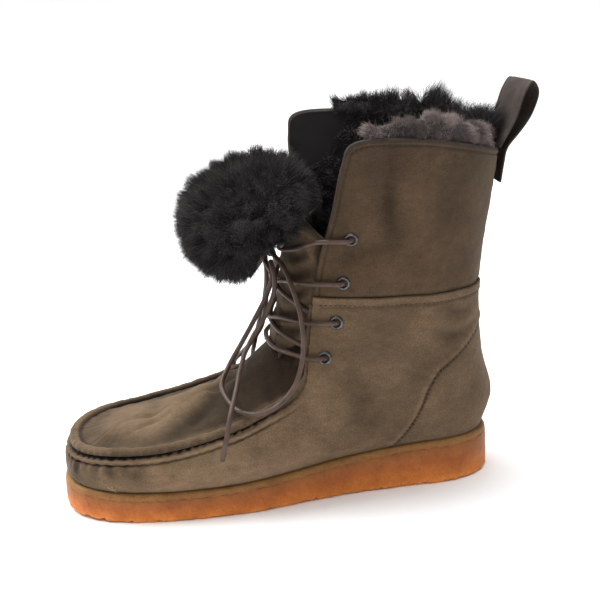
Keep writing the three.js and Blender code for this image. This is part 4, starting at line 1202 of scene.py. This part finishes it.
def strands(roots, facing, length, rng, tuft=7.0, clump=0.38, sag=0.12, width=0.3, stray=0.24):
    """Wool strands gathered into soft tufts: points, triangles, and the tip and tone of each point."""
    boxes = np.floor(roots / tuft + rng.normal(0, 0.16, roots.shape))
    cells, cell = np.unique(boxes, axis=0, return_inverse=True)
    cell = cell.ravel()
    count = np.bincount(cell)[:, None]
    middle = np.stack([np.bincount(cell, roots[:, k]) for k in range(3)], -1) / count
    facing_middle = unit(np.stack([np.bincount(cell, facing[:, k]) for k in range(3)], -1))
    lean = rng.normal(0, 0.34, facing_middle.shape)
    way = unit(facing_middle + lean + [0, 0, -sag])
    own = unit(facing + rng.normal(0, stray, facing.shape) + 0.7 * lean[cell] + [0, 0, -sag])
    length = length[:, None] * rng.uniform(0.6, 1.1, (len(roots), 1))
    tip = mix(roots + own * length, middle[cell] + way[cell] * length, clump)
    bend = mix(roots, tip, 0.55) + rng.normal(0, 0.09, roots.shape) * length
    across = unit(np.cross(tip - roots, rng.normal(size=roots.shape))) * width
    foot, waist = across / 2, across * 0.4
    points = np.stack([roots - foot, roots + foot, bend - waist, bend + waist, tip], 1)
    start = STRAND_POINTS * np.arange(len(roots))[:, None, None]
    triangles = np.array([[0, 1, 3], [0, 3, 2], [2, 3, 4]])[None] + start
    height = np.tile([0.0, 0.0, 0.55, 0.55, 1.0], len(roots))
    tone = 0.5 + 0.2 * rng.normal(size=len(roots)) + 0.2 * rng.normal(size=len(cells))[cell]
    return points.reshape(-1, 3), triangles.reshape(-1, 3), height, tone


def fur_piece(name, roots, facing, length, seed, material, slot, **how):
    points, triangles, height, tone = strands(roots, facing, length, np.random.default_rng(seed), **how)
    tone = np.repeat(np.clip(tone, 0, 1), STRAND_POINTS)
    return dress(make_mesh(name, points, triangles, tip=height, tone=tone), material, slot)


def fur_core(name, hide, inset, material, slot, *nodes):
    """The plain dark body under the strands."""
    points, triangles, normals, _ = hide
    core = points - normals * inset
    even = np.full(len(core), 0.25)
    return dress(make_mesh(name, core, triangles, tip=even, tone=even), material, slot, *nodes)


rng = np.random.default_rng(61)
cuff = welded("tongue_cuff")
fur_core("cuff_core", cuff, 9, pile, "fleece", "tongue_cuff")
roots, facing = scatter(*cuff, STRANDS["cuff"], rng)
hollow_gap, _ = line_distance(SOLE["length"] / 2 - roots[:, 1], roots[:, 2], CUFF_HOLLOW)
open_side = np.abs(hollow_gap) > 3
roots, facing = roots[open_side], facing[open_side]
length = 10.5 + 2.4 * lumps(roots, 20, 62) + 1.6 * lumps(roots, 7, 69)
length += 4.5 * hump((roots - CUFF_SWELL) / [60, 14, 16], 1).prod(-1)
length += 5 * hump((roots - CUFF_BACK) / [60, 10, 16], 1).prod(-1)
length *= smoothstep(np.abs(hollow_gap[open_side]), 2, 14) * 0.5 + 0.5
fur_piece(
    "cuff_fleece", roots - facing * 8.5, facing, length, 63, pile, "fleece",
    tuft=7, clump=0.44, width=0.25, stray=0.36)

# The collar's pile is paler and mauve along the inner side, partly a painted highlight on the dark fleece,
# and charcoal along the outer side.
collar = welded("collar_fleece")
collar_core = fur_core("collar_core", collar, 0.2, pile, "fleece", "collar_fleece")
collar_core.data.materials.append(collar_pile)
inner_faces = collar[0][collar[1]].mean(1)[:, 0] > 2
collar_core.data.polygons.foreach_set("material_index", inner_faces.astype(np.int32))
roots, facing = scatter(*collar, STRANDS["collar"], rng)
length = 10 + 1.7 * lumps(roots, 18, 64) + 2 * lumps(roots, 7, 68)
outer = roots[:, 0] < 2
length[~outer] *= mix(1, 0.75, smoothstep(roots[~outer, 1], 92, 125))
fur_piece(
    "collar_strands_inner", (roots - facing * 4)[~outer], facing[~outer], length[~outer], 65,
    collar_pile, "fleece", sag=-0.3, tuft=8, clump=0.4, width=0.24, stray=0.36)
tall = mix(0, 16, smoothstep(roots[:, 1], 60, 130)) + 5 * hump(roots[:, 1] - 44, 18)
tall *= smoothstep(facing[:, 2], -0.1, 0.7)
fur_piece(
    "collar_strands_outer", (roots - facing * 5)[outer], facing[outer], (length + tall)[outer], 66,
    pile, "fleece", sag=-0.5, tuft=7.5, clump=0.34, width=0.28, stray=0.34)

# Shorter pile inside the shaft, clear of the flaps' smooth facing.
u = rng.uniform(8.6, RING - 8.6, STRANDS["lining"])
v = 1 - 0.42 * rng.random(STRANDS["lining"]) ** 1.2
inner_normal = -upper_normal(u, v)
roots = upper_at(u, v) + inner_normal * wall_at(u, v)[:, None]
from_edge = np.linalg.norm(roots - upper_at(u, np.ones_like(v)), axis=1)
mirror_u = np.minimum(u, RING - u)
bare = mix(4.0, 34.0, 1 - smoothstep(mirror_u, 12.0, 12.9))
keep = (from_edge > bare) & (roots[:, 2] > 118)
fur_piece(
    "lining_strands", roots[keep], inner_normal[keep], np.full(keep.sum(), 7.5), 67,
    pile, "lining", sag=-0.1)

# Pull loop

route = smooth_route([(along, up, 0) for along, up in STRAP_ROUTE], 150)
run = unit(np.gradient(route, axis=0))
section = []
half_wide, half_thick = STRAP["wide"] / 2, STRAP["thick"] / 2
for turn in np.linspace(0, 2 * np.pi, 56, endpoint=False):
    across = np.sign(np.cos(turn)) * np.abs(np.cos(turn)) ** 0.35 * half_wide
    through_strap = np.sign(np.sin(turn)) * np.abs(np.sin(turn)) ** 0.5 * half_thick
    groove = 0.3 * hump(np.abs(across) - half_wide + 2.6, 0.8) * np.sign(through_strap)
    section.append((across, through_strap - groove))
strap_points = np.stack([np.stack([
    route[:, 0] - run[:, 1] * deep,
    np.full(len(route), across),
    route[:, 1] + run[:, 0] * deep,
], -1) for across, deep in section], 1)
# The free part of the loop is twisted a little about the upright and leans back.
turn = np.radians(STRAP["turn"]) * smoothstep(strap_points[..., 2], 206, 228)
reach, across = strap_points[..., 0] - STRAP["turn_along"], strap_points[..., 1]
strap_points[..., 0] = STRAP["turn_along"] + reach * np.cos(turn) - across * np.sin(turn)
strap_points[..., 0] -= STRAP["back"] * smoothstep(strap_points[..., 2], 206, 236)
strap_points[..., 1] = reach * np.sin(turn) + across * np.cos(turn)
strap = make_mesh("pull_strap", *sheet(place(strap_points), wrap_columns=True))
dress(strap, strap_leather, "strap", "pull_loop")

# Eyelets

rings = []
bore_shades = []
turn = np.linspace(0, 2 * np.pi, EYELET_STEPS, endpoint=False)
for side in (1, -1):
    for along, up in EYELETS:
        u, v = find_on_upper(along, up, side)
        centre, axis = upper_at(u, v), upper_normal(u, v)
        a = unit(np.cross(axis, [0.0, 0.0, 1.0]))
        b = np.cross(axis, a)
        circle = np.cos(turn)[:, None] * a + np.sin(turn)[:, None] * b
        ring = np.stack([centre + circle * radius + axis * high for radius, high in EYELET_PROFILE], 0)
        rings.append(sheet(ring, wrap_columns=True))
        # A dark disc in each bore: painted shade where the hole looks into the boot.
        disc = np.stack([centre + circle * radius + axis * 0.5 for radius in (2.5, 1.2, 0.01)], 0)
        bore_shades.append(sheet(disc, wrap_columns=True))
names = [f"eyelet_{where}_{k}" for where in ("inner", "outer") for k in range(1, 5)]
dress(make_mesh("eyelet_rings", *join(rings)), nickel, "eyelet", *names)
dress(make_mesh("eyelet_bore_shades", *join(bore_shades)), strap_leather, "lining")


# Lace through the eyelets

def over_tongue(up, w):
    v = np.linspace(0, 1, 600)
    line = tongue_at(v, w, -(lace_radius + LACE["clear"]))
    return line[np.argmax(line[:, 2] >= up)]


def flap_edge(up, side):
    u = np.linspace(6, 12, 2000)
    u = u[np.argmax(upper_at(u, np.ones_like(u))[:, 2] >= up)]
    return u if side > 0 else RING - u


def under_flap(up, side):
    u = flap_edge(up, side)
    return upper_at(u, 0.96) - upper_normal(u, 0.96) * (wall_at(u, 0.96) + 2.2)


def over_flap(eyelet, side):
    along, up = eyelet
    u = flap_edge(up, side)
    run = upper_at(u, 1.0) - upper_at(u, 0.95)
    run[2] = 0
    lift = upper_normal(u, 1.0) * (lace_radius + LACE["clear"])
    edge = upper_at(u, 1.0) + lift + unit(run) * LACE["beyond"]
    return [
        on_upper(along, up, side, -1.5), on_upper(along, up, side, 1.2),
        on_upper(along + 2.5, up, side, 3.0), on_upper(along + LACE["halfway"], up, side, 2.6), edge,
    ]


def lace_run(points, count):
    return tube(smooth_route(points, count), lace_radius)


first_up = EYELETS[0][1] + 1
laces = [lace_run(
    over_flap(EYELETS[0], 1) + [over_tongue(first_up, w) for w in (0.88, 0.5, 0, -0.5, -0.88)]
    + over_flap(EYELETS[0], -1)[::-1], 120)]
for lower, higher in zip(EYELETS[:2], EYELETS[1:3]):
    for side in (1, -1):
        low = lower[1] + 9
        middle = (low + higher[1]) / 2
        across = [
            under_flap(low - 3, -side), over_tongue(low, -0.8 * side), over_tongue(middle - 3, -0.4 * side),
            over_tongue(middle, 0), over_tongue(middle + 4, 0.45 * side),
        ]
        laces.append(lace_run(across + over_flap(higher, side)[::-1], 90))
# The top bar runs behind the knot.
laces.append(lace_run(
    over_flap(EYELETS[3], 1) + [over_tongue(155, 0.7), over_tongue(KNOT[2], 0), over_tongue(155, -0.7)]
    + over_flap(EYELETS[3], -1)[::-1], 120))
lace = make_mesh("lace_runs", *join(laces))
dress(lace, lace_leather, "lace", "lace_bar_lower", "lace_crossing_1", "lace_crossing_2", "lace_bar_top")


# Stitching

def stitches(line, stitch, gap, radius):
    """Short rounded stitches along a millimetre line."""
    reach = run_lengths(line)
    parts = []
    for begin in np.arange(0, reach[-1] - stitch, stitch + gap):
        at = begin + np.array([0, 0.33, 0.67, 1]) * stitch
        path = np.stack([np.interp(at, reach, line[:, k]) for k in range(3)], -1)
        parts.append(tube(path, radius, 6))
    return parts


def lift_line(points, side, lift, count):
    return np.array([on_upper(along, up, side, lift) for along, up in smooth_route(points, count)])


thread_parts = stitches(edge_stitch_line, 2.2, 1.2, 0.22) + stitches(band_line, 1.7, 1.2, 0.24)
for side in (1, -1):
    seam_line = lift_line(COUNTER_SEAM[:6], side, -0.55, 120)
    thread_parts += stitches(seam_line, 1.6, 1.7, 0.62)
dress(make_mesh("stitching", *join(thread_parts)), thread, "suede")
